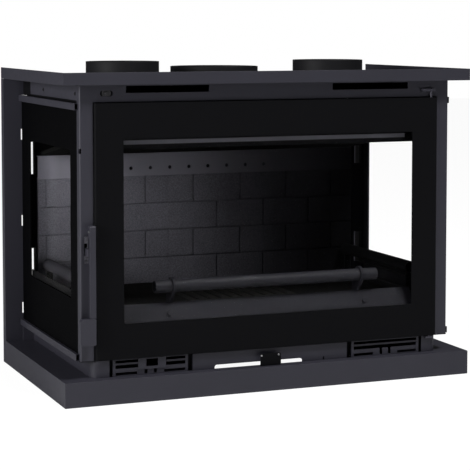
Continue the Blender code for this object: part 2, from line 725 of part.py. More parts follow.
def plinth_side(name, side, steel):
    """The side of the plinth, bent round the front corner, with a flange turned out at the rear."""
    end = BASE_BACK - PLINTH_REAR_GAP
    path = [(PLINTH_CORNER_INNER, PLINTH_FACE), (PLINTH_SIDE_OUTER, PLINTH_FACE),
            (PLINTH_SIDE_OUTER, end)]
    sheet = on_side(side, folded(path, SHEET, PLINTH_BEND))
    piece = prism(name + "_plinth_side", "Z", sheet, PLINTH_FOOT, PLINTH_TOP, steel)
    low, high = span(side, PLINTH_SIDE_OUTER - SHEET, REAR_INNER + PLINTH_REAR_FLANGE_LAP)
    weld(piece, prism(name + "_rear_flange", "Y", rectangle(low, PLINTH_FOOT, high, PLINTH_TOP),
                      end - SHEET, end, steel))
    if side > 0:
        notch = rectangle(HINGE_X - LOWER_ARM_SIDE - GAP, PLINTH_TOP - LOWER_ARM_THICKNESS - GAP,
                          HINGE_X + LOWER_ARM_SIDE + GAP, PLINTH_TOP + OVERRUN)
        cut(piece, prism("lower_hinge_notch", "Y", notch, PLINTH_FACE - OVERRUN,
                         PLINTH_BACK + PLINTH_BEND))
    return piece


def plinth_mid_panel(steel):
    """The panel under the door, its ends folded back, with the notch for the air control."""
    notch_top = PLINTH_FOOT + PULL_NOTCH_HEIGHT
    arch = rounded([(PULL_NOTCH_RIGHT, PLINTH_FOOT), (PULL_NOTCH_RIGHT, notch_top),
                    (PULL_NOTCH_LEFT, notch_top), (PULL_NOTCH_LEFT, PLINTH_FOOT)],
                   [0, PULL_NOTCH_RIGHT_BEND, PULL_NOTCH_BEND, 0])
    drain = [(DRAIN_NOTCH_X + DRAIN_NOTCH_WIDTH, PLINTH_FOOT),
             (DRAIN_NOTCH_X + DRAIN_NOTCH_WIDTH, PLINTH_FOOT + DRAIN_NOTCH_HEIGHT),
             (DRAIN_NOTCH_X, PLINTH_FOOT + DRAIN_NOTCH_HEIGHT), (DRAIN_NOTCH_X, PLINTH_FOOT)]
    outline = [(-MID_PANEL_HALF, PLINTH_TOP), (-MID_PANEL_HALF, PLINTH_FOOT), *reversed(arch),
               *reversed(drain), (MID_PANEL_HALF, PLINTH_FOOT), (MID_PANEL_HALF, PLINTH_TOP)]
    panel = prism("plinth_mid_panel", "Y", outline, PLINTH_FACE, PLINTH_BACK, steel)
    for name, side in SIDES:
        low, high = span(side, MID_PANEL_HALF - SHEET, MID_PANEL_HALF)
        fold = rectangle(PLINTH_FACE + SHEET / 2, PLINTH_FOOT, PLINTH_FACE + MID_PANEL_RETURN, PLINTH_TOP)
        weld(panel, prism(name + "_panel_return", "X", fold, low, high, steel))
    return panel


def grille(name, side, steel):
    """A slotted plate with the short air duct welded behind it, lipped along its rear foot."""
    left, right = span(side, GRILLE_INNER, GRILLE_OUTER)
    middle = (left + right) / 2
    rows = []
    upper = PLINTH_TOP - GRILLE_UPPER_ROW_BELOW_TOP
    lower = PLINTH_TOP - GRILLE_LOWER_ROW_BELOW_TOP
    foot = PLINTH_FOOT + GRILLE_FOOT_MARGIN
    tongue_left = middle - GRILLE_TONGUE / 2 - GRILLE_TONGUE_GAP
    tongue_right = middle + GRILLE_TONGUE / 2 + GRILLE_TONGUE_GAP
    start, stop = left + GRILLE_MARGIN, right - GRILLE_MARGIN
    rows.append(rectangle(start, upper, stop, upper + GRILLE_UPPER_ROW_HEIGHT))
    comb = [(start, lower + GRILLE_LOWER_ROW_HEIGHT), (start, lower)]
    for near in (tongue_left, tongue_right - GRILLE_TONGUE_GAP):
        comb += [(near, lower), (near, foot)]
        comb += [(near + GRILLE_TONGUE_GAP, foot), (near + GRILLE_TONGUE_GAP, lower)]
    comb += [(stop, lower), (stop, lower + GRILLE_LOWER_ROW_HEIGHT)]
    rows.append(comb)
    for low, high in ((start, tongue_left - GRILLE_FOOT_ROW_STANDOFF),
                      (tongue_right + GRILLE_FOOT_ROW_STANDOFF, stop)):
        rows.append(rectangle(low, foot, high, foot + GRILLE_FOOT_ROW))
    plate = prism(name + "_grille", "Y", rectangle(left, PLINTH_FOOT, right, PLINTH_TOP),
                  PLINTH_FACE, PLINTH_BACK, steel, holes=rows)
    if side < 0:
        bay = rectangle(middle - GRILLE_BAY_HALF, lower + GRILLE_LOWER_ROW_HEIGHT / 2,
                        middle + GRILLE_BAY_HALF, upper + GRILLE_UPPER_ROW_HEIGHT / 2)
        cut(plate, prism("shutter_bay", "Y", bay, PLINTH_FACE - OVERRUN, PLINTH_BACK + OVERRUN))
    duct_left = left + AIR_DUCT_INSET
    duct_right = right - AIR_DUCT_INSET
    duct_end = PLINTH_BACK + AIR_DUCT_DEPTH
    wall = AIR_DUCT_WALL
    hollow = rectangle(duct_left + wall, foot, duct_right - wall, PLINTH_TOP - wall)
    duct = prism(name + "_air_duct", "Y", rectangle(duct_left, PLINTH_FOOT, duct_right, PLINTH_TOP),
                 PLINTH_BACK - SHEET / 2, duct_end, steel, holes=[hollow])
    lip = prism(name + "_duct_lip", "Y",
                rectangle(duct_left, PLINTH_FOOT, duct_right, PLINTH_FOOT + AIR_DUCT_LIP),
                duct_end - wall, duct_end, steel)
    return weld(plate, duct, lip)


def hearth_plate(steel):
    """The bottom of the carcass, eared under the posts, with an apron down behind the plinth."""
    ear = FACE + SHEET / 2
    setback = FRONT + HEARTH_SETBACK
    half = [(POST_INNER, setback), (POST_INNER, ear), (POST_OUTER, ear), (POST_OUTER, SIDE_END)]
    outline = half + mirrored(half)
    plate = prism("hearth_plate", "Z", outline, HEARTH_BOTTOM, HEARTH_TOP, steel)
    top = HEARTH_BOTTOM + HEARTH_SHEET / 2
    foot = PLINTH_FOOT - APRON_DROP
    shoulder = PLINTH_FOOT + GAP
    wide = PLINTH_SIDE_OUTER - SHEET - APRON_SIDE_CLEARANCE
    narrow = HALF - BASE_SIDE_LIP - APRON_SIDE_CLEARANCE
    half = [(narrow, foot), (narrow, shoulder), (wide, shoulder), (wide, top)]
    near, far = FRONT + APRON_SETBACK, FRONT + APRON_SETBACK + HEARTH_SHEET
    apron = prism("apron", "Y", half + mirrored(half), near, far, steel)
    ways = [rectangle(PULL_NOTCH_LEFT, foot - OVERRUN, PULL_NOTCH_RIGHT + APRON_NOTCH_SHIFT,
                      PLINTH_FOOT + PULL_NOTCH_HEIGHT)]
    for _, side in SIDES:
        low, high = span(side, GRILLE_INNER + AIR_DUCT_INSET - APRON_CLEARANCE,
                         GRILLE_OUTER - AIR_DUCT_INSET + APRON_CLEARANCE)
        ways.append(rectangle(low, PLINTH_FOOT - APRON_CLEARANCE, high, HEARTH_BOTTOM))
    weld(plate, apron)
    for number, way in enumerate(ways):
        cut(plate, prism("apron_way_" + str(number), "Y", way, near - GAP, far + GAP))
    return plate


def side_frame(name, side, black):
    outline = rectangle(SIDE_START, CARCASS_FOOT, SIDE_END, SIDE_FRAME_TOP)
    window = rounded(rectangle(FRONT + SIDE_WINDOW_FRONT, SIDE_WINDOW_BOTTOM, SIDE_WINDOW_BACK,
                               SIDE_WINDOW_TOP), SIDE_WINDOW_BEND)
    low, high = span(side, SIDE_FRAME_INNER, POST_OUTER)
    return prism(name + "_side_frame", "X", outline, low, high, black, holes=[window])


def side_glass(name, side, glass):
    lap = SIDE_GLASS_LAP
    outer = SIDE_FRAME_INNER - GAP
    low, high = span(side, outer - SIDE_GLASS_THICKNESS, outer)
    outline = rectangle(FRONT + SIDE_WINDOW_FRONT - lap, SIDE_WINDOW_BOTTOM - lap,
                        SIDE_WINDOW_BACK + lap, SIDE_WINDOW_TOP + lap)
    return prism(name + "_side_glass", "X", outline, low, high, glass)


def side_glass_retainer(name, side, steel):
    """An angle strip that clamps the foot of the glass and turns in over the stone."""
    outer = SIDE_FRAME_INNER - SIDE_GLASS_THICKNESS - GAP * 2
    foot = SIDE_WINDOW_BOTTOM - SIDE_GLASS_LAP
    path = [(outer - RETAINER_LEG, foot), (outer, foot), (outer, foot + RETAINER_SEAT)]
    sheet = on_side(side, folded(path, SHEET))
    lap = SIDE_GLASS_LAP
    return prism(name + "_side_glass_retainer", "Y", sheet, FRONT + SIDE_WINDOW_FRONT - lap,
                 SIDE_WINDOW_BACK + lap, steel)


def side_rail(name, side, bottom, steel):
    """A channel along the outside of the side frame, open at its ends."""
    inner = POST_OUTER + GAP
    outer = inner + RAIL_DEPTH
    top = bottom + RAIL_HEIGHT
    section = folded([(inner, bottom), (outer, bottom), (outer, top), (inner, top)], RAIL_SHEET)
    return prism(name, "Y", on_side(side, section), POST_BACK - RAIL_LEAD, SIDE_END, steel)


def side_fascia(name, side, steel):
    low, high = span(side, POST_OUTER - SHEET, POST_OUTER)
    outline = rectangle(SIDE_START, SIDE_FRAME_TOP + SIDE_FASCIA_RISE,
                        BASE_BACK - SIDE_FASCIA_REAR_INSET, CARCASS_TOP)
    return prism(name + "_side_fascia", "X", outline, low, high, steel)


def seal_frame(steel):
    outline = rectangle(-SEAL_HALF, CARCASS_FOOT, SEAL_HALF, SIDE_FRAME_TOP)
    opening = rectangle(-SEAL_OPENING_HALF, SEAL_OPENING_BOTTOM, SEAL_OPENING_HALF, SEAL_OPENING_TOP)
    return prism("seal_frame", "Y", outline, SEAL_FACE, SEAL_BACK, steel, holes=[opening])


def air_wash_guide(black):
    """The folded guide behind the seal frame that sends air down over the glass."""
    near = SEAL_BACK + GAP
    low, high = SEAL_OPENING_TOP - GUIDE_DROP, SEAL_OPENING_TOP + GUIDE_RISE
    path = [(near + GUIDE_DEPTH, high), (near, high), (near, low), (near + GUIDE_LIP, low)]
    half = SEAL_OPENING_HALF + GUIDE_LAP
    return prism("air_wash_guide", "X", folded(path, SHEET), -half, half, black)


def back_plate(steel):
    outline = rectangle(-BACK_PLATE_HALF, CARCASS_FOOT, BACK_PLATE_HALF, SIDE_FRAME_TOP)
    return prism("back_plate", "Y", outline, BACK_PLATE_FRONT, BACK_PLATE_BACK, steel)


def back_duct_casing(steel):
    """A pan on the back plate that leads air up behind the firebox."""
    near = BACK_PLATE_BACK + GAP
    far = near + CASING_DEPTH
    path = [(-CASING_HALF - CASING_FLANGE, near), (-CASING_HALF, near), (-CASING_HALF, far),
            (CASING_HALF, far), (CASING_HALF, near), (CASING_HALF + CASING_FLANGE, near)]
    return prism("back_duct_casing", "Z", folded(path, CASING_SHEET), CASING_BOTTOM,
                 CARCASS_TOP - CASING_BELOW_TOP, steel)


def rear_corner(name, side, steel):
    """A slotted plate set across the rear corner of the firebox."""
    near = WALL_FACE + SHEET / 2
    far = near - CORNER_RISE
    path = [(CORNER_INNER + GAP, BRICK_BACK), (CORNER_INNER + GAP, near), (CORNER_OUTER, far),
            (CORNER_OUTER, far + CORNER_WING)]
    sheet = on_side(side, folded(path, SHEET))
    piece = prism(name + "_rear_corner", "Z", sheet, CARCASS_FOOT, SIDE_FRAME_TOP, steel)
    middle_x = (CORNER_INNER + CORNER_OUTER) / 2
    for number, bottom in enumerate(CORNER_SLOT_HEIGHTS):
        left, right = span(side, middle_x - CORNER_SLOT_WIDTH / 2, middle_x + CORNER_SLOT_WIDTH / 2)
        slot = rectangle(left, bottom, right, bottom + CORNER_SLOT_LENGTH)
        cut(piece, prism(name + "_corner_slot_" + str(number), "Y", slot, far - OVERRUN,
                         near + CORNER_WING / 2))
    return piece


def brick_panel(name, left, right, stone):
    """A pressed panel of the back wall with the joints of its bricks grooved into its face."""
    outline = rectangle(left, STONE_TOP + GAP, right, BRICK_TOP)
    panel = prism(name, "Y", outline, WALL_FACE, BRICK_BACK, stone)
    rows = []
    for row in range(1, BRICK_ROWS):
        level = BRICK_TOP - row * BRICK_HEIGHT
        rows.append(rectangle(left - OVERRUN, level - BRICK_JOINT / 2, right + OVERRUN,
                              level + BRICK_JOINT / 2))
    uprights = []
    for row in range(BRICK_ROWS):
        top = BRICK_TOP - row * BRICK_HEIGHT
        start = BRICK_PHASE_X + BRICK_LENGTH / 2 * (row % 2)
        for course in range(-BRICK_COURSES, BRICK_COURSES + 1):
            middle = start + course * BRICK_LENGTH
            if left + BRICK_JOINT * 2 < middle < right - BRICK_JOINT * 2:
                low = max(top - BRICK_HEIGHT, STONE_TOP - OVERRUN)
                uprights.append(rectangle(middle - BRICK_JOINT / 2, low, middle + BRICK_JOINT / 2,
                                          min(top, BRICK_TOP)))
    for number, joint in enumerate(rows + uprights):
        cut(panel, prism(name + "_joint_" + str(number), "Y", joint, WALL_FACE - OVERRUN,
                         WALL_FACE + BRICK_JOINT_DEPTH))
    return panel


def air_strip(steel):
    """A folded strip over the bricks with a row of holes for the secondary air."""
    path = [(BRICK_BACK, STRIP_TOP), (WALL_FACE, STRIP_TOP), (WALL_FACE, STRIP_BOTTOM),
            (BRICK_BACK, STRIP_BOTTOM)]
    sheet = folded(path, SHEET)
    strip = prism("air_strip", "X", sheet, -BRICK_HALF_WIDTH, BRICK_HALF_WIDTH, steel)
    for number in range(AIR_HOLE_COUNT):
        x = AIR_HOLE_CENTRE_X + (number - (AIR_HOLE_COUNT - 1) / 2) * AIR_HOLE_SPACING
        hole = circle(x, STRIP_BOTTOM + AIR_HOLE_RISE, AIR_HOLE_RADIUS, ARC_STEPS * 3)
        cut(strip, prism("air_hole_" + str(number), "Y", hole, WALL_FACE - OVERRUN,
                         WALL_FACE + OVERRUN))
    return strip


def baffle_plate(stone):
    """The slab that turns the smoke forward, lying on the air strip and sloping up."""
    low = STRIP_TOP + GAP
    path = [(BRICK_BACK - SHEET, low), (WALL_FACE, low), (WALL_FACE - BAFFLE_REACH, low + BAFFLE_RISE)]
    section = folded(list(reversed(path)), BAFFLE_THICKNESS)
    half = BRICK_HALF_WIDTH - BAFFLE_SIDE_GAP
    return prism("baffle_plate", "X", section, -half, half, stone)


def firebox_roof(steel):
    """The top of the firebox, turned up at the sides and the rear to close the air space over it."""
    outline = rectangle(-ROOF_HALF, FRONT + ROOF_FRONT, ROOF_HALF, BACK_PLATE_BACK)
    hole = circle(0, FLUE_Y, FLUE_RADIUS - FLUE_WALL * 2)
    roof = prism("firebox_roof", "Z", outline, ROOF_BOTTOM, ROOF_TOP, steel, holes=[hole])
    foot = ROOF_TOP - SHEET / 2
    top = CARCASS_TOP - SHEET - GAP
    weld(roof, prism("roof_rear_upstand", "Y", rectangle(-ROOF_HALF, foot, ROOF_HALF, top),
                     BACK_PLATE_BACK - SHEET, BACK_PLATE_BACK, steel))
    for name, side in SIDES:
        low, high = span(side, ROOF_HALF - SHEET, ROOF_HALF)
        upstand = rectangle(SIDE_START, foot, BACK_PLATE_BACK, top)
        weld(roof, prism(name + "_roof_upstand", "X", upstand, low, high, steel))
    return roof


def top_cover_plate(steel):
    outline = rectangle(-ROOF_HALF, FACE_BACK + POST_BEND, ROOF_HALF, BASE_BACK)
    holes = [circle(0, FLUE_Y, FLUE_RADIUS + GAP)]
    for _, side in SIDES:
        holes.append(circle(side * DUCT_X, DUCT_Y, DUCT_RADIUS + GAP))
    return prism("top_cover_plate", "Z", outline, CARCASS_TOP - SHEET, CARCASS_TOP, steel, holes=holes)


def collar(name, x, y, radius, wall, bottom, top, flange, steel):
    """A short tube with a flange turned out at its foot."""
    profile = [(radius - wall, bottom), (radius + flange, bottom), (radius + flange, bottom + wall),
               (radius, bottom + wall), (radius, top), (radius - wall, top)]
    return turned(name, profile, (x, y, 0), steel)


def ash_housing(steel):
    """The trough under the stone, whose flanges carry it."""
    top = STONE_BOTTOM - GAP - SHEET
    foot = CARCASS_FOOT
    path = [(-HOUSING_HALF - HOUSING_FLANGE, top), (-HOUSING_HALF, top), (-HOUSING_HALF, foot),
            (HOUSING_HALF, foot), (HOUSING_HALF, top), (HOUSING_HALF + HOUSING_FLANGE, top)]
    return prism("ash_housing", "Y", folded(path, SHEET), FRONT + HOUSING_FRONT,
                 WALL_FACE - HOUSING_WALL_GAP, steel)


def floor_stone(stone):
    """The refractory floor with a stepped opening for the grate."""
    outline = rectangle(-STONE_HALF, FRONT + STONE_FRONT, STONE_HALF, WALL_FACE - GAP)
    near, far = FRONT + GRATE_FRONT, FRONT + GRATE_FRONT + GRATE_LENGTH
    opening = rectangle(-GRATE_HALF_WIDTH + GRATE_LEDGE, near + GRATE_LEDGE,
                        GRATE_HALF_WIDTH - GRATE_LEDGE, far - GRATE_LEDGE)
    slab = prism("floor_stone", "Z", outline, STONE_BOTTOM, STONE_TOP, stone, holes=[opening])
    seat = rectangle(-GRATE_HALF_WIDTH, near, GRATE_HALF_WIDTH, far)
    return cut(slab, prism("grate_seat", "Z", seat, STONE_TOP - GRATE_THICKNESS - GAP,
                           STONE_TOP + OVERRUN))


def grate(iron):
    """The cast grate, lying loose in the step of the stone."""
    left, right = -GRATE_HALF_WIDTH + GAP, GRATE_HALF_WIDTH - GAP
    near, far = FRONT + GRATE_FRONT + GAP, FRONT + GRATE_FRONT + GRATE_LENGTH - GAP
    pitch = (right - left - GRATE_SLOT_MARGIN) / GRATE_SLOTS
    holes = []
    for number in range(GRATE_SLOTS):
        middle = left + GRATE_SLOT_MARGIN / 2 + pitch * (number + 1 / 2)
        holes.append(rectangle(middle - GRATE_SLOT / 2, near + GRATE_SLOT_MARGIN,
                               middle + GRATE_SLOT / 2, far - GRATE_SLOT_MARGIN))
    return prism("grate", "Z", rectangle(left, near, right, far), STONE_TOP - GRATE_THICKNESS,
                 STONE_TOP, iron, holes=holes)


def ash_pan(steel):
    """A loose tray in the trough."""
    half = HOUSING_HALF - SHEET - ASH_PAN_CLEARANCE
    floor = CARCASS_FOOT + SHEET + GAP
    near = FRONT + HOUSING_FRONT + ASH_PAN_END_GAP
    far = WALL_FACE - HOUSING_WALL_GAP - ASH_PAN_END_GAP
    tray = prism("ash_pan", "Z", rectangle(-half, near, half, far), floor, floor + ASH_PAN_HEIGHT, steel)
    wall = ASH_PAN_WALL
    hollow = rectangle(-half + wall, near + wall, half - wall, far - wall)
    return cut(tray, prism("ash_pan_hollow", "Z", hollow, floor + wall,
                           floor + ASH_PAN_HEIGHT + OVERRUN))


def front_lip(steel):
    """The sloping lip of the fire bed, seated on the seal frame, with the front tube's brackets."""
    near = FRONT + LIP_FOOT_SETBACK
    path = [(FRONT + STONE_FRONT - GAP, LIP_FOOT), (near, LIP_FOOT), (FRONT + LIP_TOP_SETBACK, LIP_TOP)]
    section = folded(list(reversed(path)), SHEET)
    lip = prism("front_lip", "X", section, -LIP_HALF, LIP_HALF, steel)
    y = FRONT + FRONT_TUBE_SETBACK
    rim = TUBE_RADIUS + TUBE_BRACKET_RIM
    foot_front = FRONT + STONE_FRONT + GAP
    back = foot_front + TUBE_BRACKET_FOOT
    slope_top = FRONT + LIP_TOP_SETBACK
    outline = [(foot_front, STONE_TOP + GAP), (back, STONE_TOP + GAP), (back, TUBE_HEIGHT)]
    outline += [(y + rim * math.cos(turn), TUBE_HEIGHT + rim * math.sin(turn))
                for turn in (math.radians(angle) for angle in TUBE_BRACKET_ANGLES)]
    outline += [(slope_top, LIP_TOP - SHEET), (slope_top - SHEET, LIP_TOP - TUBE_BRACKET_FOOT)]
    hole = circle(y, TUBE_HEIGHT, TUBE_RADIUS + GAP, ARC_STEPS * 4)
    for name, side in SIDES:
        low, high = span(side, TUBE_BRACKET_INNER, TUBE_BRACKET_INNER + TUBE_BRACKET_WIDTH)
        weld(lip, prism(name + "_tube_bracket", "X", outline, low, high, steel, holes=[hole]))
    return lip


def log_tube(name, centre, half_length, along_depth, steel):
    turn = Matrix.Rotation(math.pi / 2, 3, "X" if along_depth else "Y")
    inner = TUBE_RADIUS - TUBE_WALL
    profile = [(inner, -half_length), (TUBE_RADIUS, -half_length), (TUBE_RADIUS, half_length),
               (inner, half_length)]
    return turned(name, profile, centre, steel, turn, ARC_STEPS * 4)


def side_lip(name, side, steel):
    """The low kerb beside the fire, with the two stays that carry the side tube."""
    foot = STONE_TOP + GAP
    path = [(SIDE_LIP_X, foot + SIDE_LIP_HEIGHT), (SIDE_LIP_X, foot), (SIDE_LIP_X + SIDE_LIP_FOOT, foot)]
    sheet = on_side(side, folded(path, SHEET))
    kerb = prism(name + "_side_lip", "Y", sheet, FRONT + SIDE_LIP_FRONT,
                 WALL_FACE - SIDE_LIP_WALL_GAP, steel)
    half = TUBE_RADIUS / 2
    low, high = span(side, SIDE_TUBE_X - half, SIDE_TUBE_X + half)
    stay = rectangle(low, foot + SHEET / 2, high, TUBE_HEIGHT - TUBE_RADIUS - GAP)
    for end, y in (("front", FRONT + SIDE_TUBE_FRONT + SIDE_TUBE_STAY_INSET),
                   ("back", WALL_FACE - SIDE_TUBE_WALL_GAP - SIDE_TUBE_STAY_INSET)):
        weld(kerb, prism(name + "_" + end + "_stay", "Y", stay, y - SIDE_TUBE_STAY / 2,
                         y + SIDE_TUBE_STAY / 2, steel))
    return kerb


def ring_plate(name, half, bottom, top, hole_half, hole_bottom, hole_top, near, far, finish, bend=0):
    """An upright plate, square to the depth, with one window."""
    outline = rectangle(-half, bottom, half, top)
    window = rectangle(-hole_half, hole_bottom, hole_half, hole_top)
    if bend:
        window = rounded(window, bend)
    return prism(name, "Y", outline, near, far, finish, holes=[window])


def door_frame(black):
    """The pressed pan of the door, with the hinge blocks and the handle's ear welded in."""
    half = DOOR_HALF
    section = rounded([(-half, DOOR_BACK), (-half, DOOR_FACE), (half, DOOR_FACE), (half, DOOR_BACK)],
                      [0, DOOR_BEND, DOOR_BEND, 0])
    pan = prism("door_frame", "Z", section, DOOR_BOTTOM, DOOR_TOP, black)
    inner = half - DOOR_SHEET
    low, high = DOOR_BOTTOM + DOOR_SHEET, DOOR_TOP - DOOR_SHEET
    pocket = prism("door_pocket", "Y", rectangle(-inner, low, inner, high), DOOR_PLATE_BACK,
                   DOOR_BACK + OVERRUN)
    window = rounded(rectangle(-WINDOW_HALF, WINDOW_BOTTOM, WINDOW_HALF, WINDOW_TOP), WINDOW_BEND)
    cut(pan, pocket, prism("door_window", "Y", window, DOOR_FACE - OVERRUN, DOOR_BACK + OVERRUN))
    bores = []
    for name, start, way in (("lower", DOOR_BOTTOM, 1), ("upper", DOOR_TOP, -1)):
        ends = sorted((start + way * DOOR_SHEET / 2, start + way * (DOOR_SHEET + HINGE_BLOCK_HEIGHT)))
        block = rectangle(HINGE_X - HINGE_BLOCK_LEFT, DOOR_FACE + DOOR_SHEET / 2, half - DOOR_SHEET / 2,
                          DOOR_BACK - GAP)
        weld(pan, prism(name + "_hinge_block", "Z", block, *ends, black))
        ends = sorted((start - way * OVERRUN, start + way * (PIN_IN_BLOCK + OVERRUN)))
        bore = circle(HINGE_X, HINGE_Y, PIN_RADIUS + PIN_CLEARANCE, ARC_STEPS * 4)
        bores.append(prism(name + "_hinge_bore", "Z", bore, *ends))
    ear = rectangle(FRONT + EAR_FRONT, PIVOT_Z - EAR_HALF_HEIGHT, FRONT + EAR_BACK,
                    PIVOT_Z + EAR_HALF_HEIGHT)
    hole = circle(PIVOT_Y, PIVOT_Z, PIN_RADIUS + PIN_CLEARANCE, ARC_STEPS * 4)
    weld(pan, prism("handle_ear", "X", ear, -half - EAR_WIDTH, -half + DOOR_SHEET / 2, black,
                    holes=[hole]))
    return cut(pan, *bores)


def door_glass(glass):
    half = WINDOW_HALF + DOOR_GLASS_LAP
    near = DOOR_PLATE_BACK + GAP
    outline = rectangle(-half, WINDOW_BOTTOM - DOOR_GLASS_LAP, half, WINDOW_TOP + DOOR_GLASS_LAP)
    return prism("door_glass", "Y", outline, near, near + DOOR_GLASS_THICKNESS, glass)


def door_glass_retainer(steel):
    near = DOOR_PLATE_BACK + DOOR_GLASS_THICKNESS + GAP * 2
    return ring_plate("door_glass_retainer", WINDOW_HALF + RETAINER_REACH, WINDOW_BOTTOM - RETAINER_REACH,
                      WINDOW_TOP + RETAINER_REACH, WINDOW_HALF + RETAINER_LAP,
                      WINDOW_BOTTOM - RETAINER_LAP, WINDOW_TOP + RETAINER_LAP, near,
                      near + RETAINER_SHEET, steel)


def door_gasket(rope):
    """The sealing rope between the door pan and the seal frame, rounded where it seals."""
    near, far = DOOR_PLATE_BACK + GAP, SEAL_FACE - GASKET_SQUEEZE
    inner, outer = GASKET_INNER, GASKET_INNER + GASKET_WIDTH
    section = rounded([(inner, near), (outer, near), (outer, far), (inner, far)],
                      [0, 0, GASKET_BEND, GASKET_BEND])
    rings = []
    for side, lower in ((-1, True), (1, True), (1, False), (-1, False)):
        ring = []
        for reach, depth in section:
            height = GASKET_BOTTOM + outer - reach if lower else GASKET_TOP - outer + reach
            ring.append((side * reach, depth, height))
        rings.append(ring)
    return swept("door_gasket", rings, rope, closed=True)


def upper_hinge_bracket(steel):
    """A foot behind the fascia, an arm out through the slot, and the pin that hangs from it."""
    near = FACE_BACK + GAP
    far = near + HEAVY_SHEET
    top = CARCASS_TOP - SHEET - GAP
    foot = prism("upper_hinge_bracket", "Y",
                 rectangle(HINGE_X - HINGE_FOOT_LEFT, top - HINGE_FOOT_HEIGHT,
                           HINGE_X + HINGE_FOOT_RIGHT, top), near, far, steel)
    arm_bottom = CARCASS_TOP - OVAL_SLOT_BELOW_TOP - OVAL_SLOT_HEIGHT + GAP
    arm_top = arm_bottom + HINGE_ARM_THICKNESS
    left = HINGE_X - HINGE_ARM_LEFT
    stem = prism("upper_hinge_stem", "Z", rectangle(left, FRONT + HINGE_ARM_FRONT,
                                                    HINGE_X + HINGE_FOOT_RIGHT, far - HEAVY_SHEET / 2),
                 arm_bottom, arm_top, steel)
    arm = prism("upper_hinge_arm", "Z", rectangle(left, FRONT + HINGE_ARM_FRONT,
                                                  HINGE_X + HINGE_ARM_RIGHT, FACE - GAP),
                arm_bottom, arm_top, steel)
    pin = circle(HINGE_X, HINGE_Y, PIN_RADIUS, ARC_STEPS * 4)
    pin = prism("upper_hinge_pin", "Z", pin, DOOR_TOP - PIN_IN_BLOCK, arm_top - HINGE_ARM_THICKNESS / 2,
                steel)
    return weld(foot, stem, arm, pin)


def lower_hinge_bracket(steel):
    """A tongue under the hearth plate with the pin that the door stands on."""
    arm = rounded(rectangle(HINGE_X - LOWER_ARM_SIDE, FRONT + HINGE_ARM_FRONT,
                            HINGE_X + LOWER_ARM_SIDE, FRONT + LOWER_ARM_BACK), DOOR_BEND)
    arm = prism("lower_hinge_bracket", "Z", arm, PLINTH_TOP - LOWER_ARM_THICKNESS, PLINTH_TOP, steel)
    pin = circle(HINGE_X, HINGE_Y, PIN_RADIUS, ARC_STEPS * 4)
    return weld(arm, prism("lower_hinge_pin", "Z", pin, PLINTH_TOP - LOWER_ARM_THICKNESS / 2,
                           DOOR_BOTTOM + PIN_IN_BLOCK, steel))


def handle_lever(steel):
    """The bar of the handle, bent back at its pivot, with the latch hook welded to its outer side."""
    head_top = PIVOT_Z + LEVER_HEAD
    shoulder = PIVOT_Z - LEVER_HEAD
    near, far = FRONT + LEVER_FRONT, FRONT + LEVER_BACK
    head_back = FRONT + LEVER_HEAD_BACK
    bend = LEVER_BACK - LEVER_FRONT
    outline = rounded([(near, LEVER_BOTTOM), (far, LEVER_BOTTOM), (far, shoulder - bend),
                       (head_back, shoulder), (head_back, head_top), (near, head_top)],
                      [0, 0, 0, bend / 3, bend / 2, bend / 2])
    hole = circle(PIVOT_Y, PIVOT_Z, PIN_RADIUS + PIN_CLEARANCE, ARC_STEPS * 4)
    lever = prism("handle_lever", "X", outline, LEVER_OUTER, -DOOR_HALF - EAR_WIDTH - GAP * 2, steel,
                  holes=[hole])
    tip = FRONT + HOOK_REACH
    hook = [(far - bend / 2, HOOK_BOTTOM), (tip - HOOK_TIP, HOOK_BOTTOM), (tip, HOOK_BOTTOM + HOOK_TIP),
            (tip, HOOK_TOP), (far - bend / 2, HOOK_TOP)]
    return weld(lever, prism("latch_hook", "X", hook, LEVER_OUTER - HOOK_WIDTH,
                             LEVER_OUTER + HOOK_WIDTH / 4, steel))


def handle_grip(steel):
    outline = rounded(rectangle(GRIP_LEFT, GRIP_BOTTOM, GRIP_RIGHT, LEVER_BOTTOM - GAP),
                      [GRIP_BEND, GRIP_BEND / 4, GRIP_BEND / 4, GRIP_BEND])
    return prism("handle_grip", "Y", outline, FRONT + GRIP_FRONT, FRONT + GRIP_BACK, steel)


def handle_pivot_pin(steel):
    pin = circle(PIVOT_Y, PIVOT_Z, PIN_RADIUS, ARC_STEPS * 4)
    return prism("handle_pivot_pin", "X", pin, LEVER_OUTER - SHEET, -DOOR_HALF + DOOR_SHEET / 2, steel)


def latch_keeper(steel):
    """A stud inside the left post that the hook closes under."""
    height = HOOK_TOP + GAP + KEEPER_RADIUS
    inner = -POST_OUTER + HEAVY_SHEET + KEEPER_STANDOFF
    near = FACE_BACK + GAP
    plate = prism("latch_keeper", "X", rectangle(near, height - KEEPER_PLATE_HALF, POST_BACK,
                                                 height + KEEPER_PLATE_HALF),
                  inner, inner + KEEPER_PLATE, steel)
    stud = circle(FRONT + KEEPER_SETBACK, height, KEEPER_RADIUS, ARC_STEPS * 4)
    return weld(plate, prism("keeper_stud", "X", stud, inner + KEEPER_PLATE / 2,
                             LEVER_OUTER + HOOK_WIDTH / 4, steel))


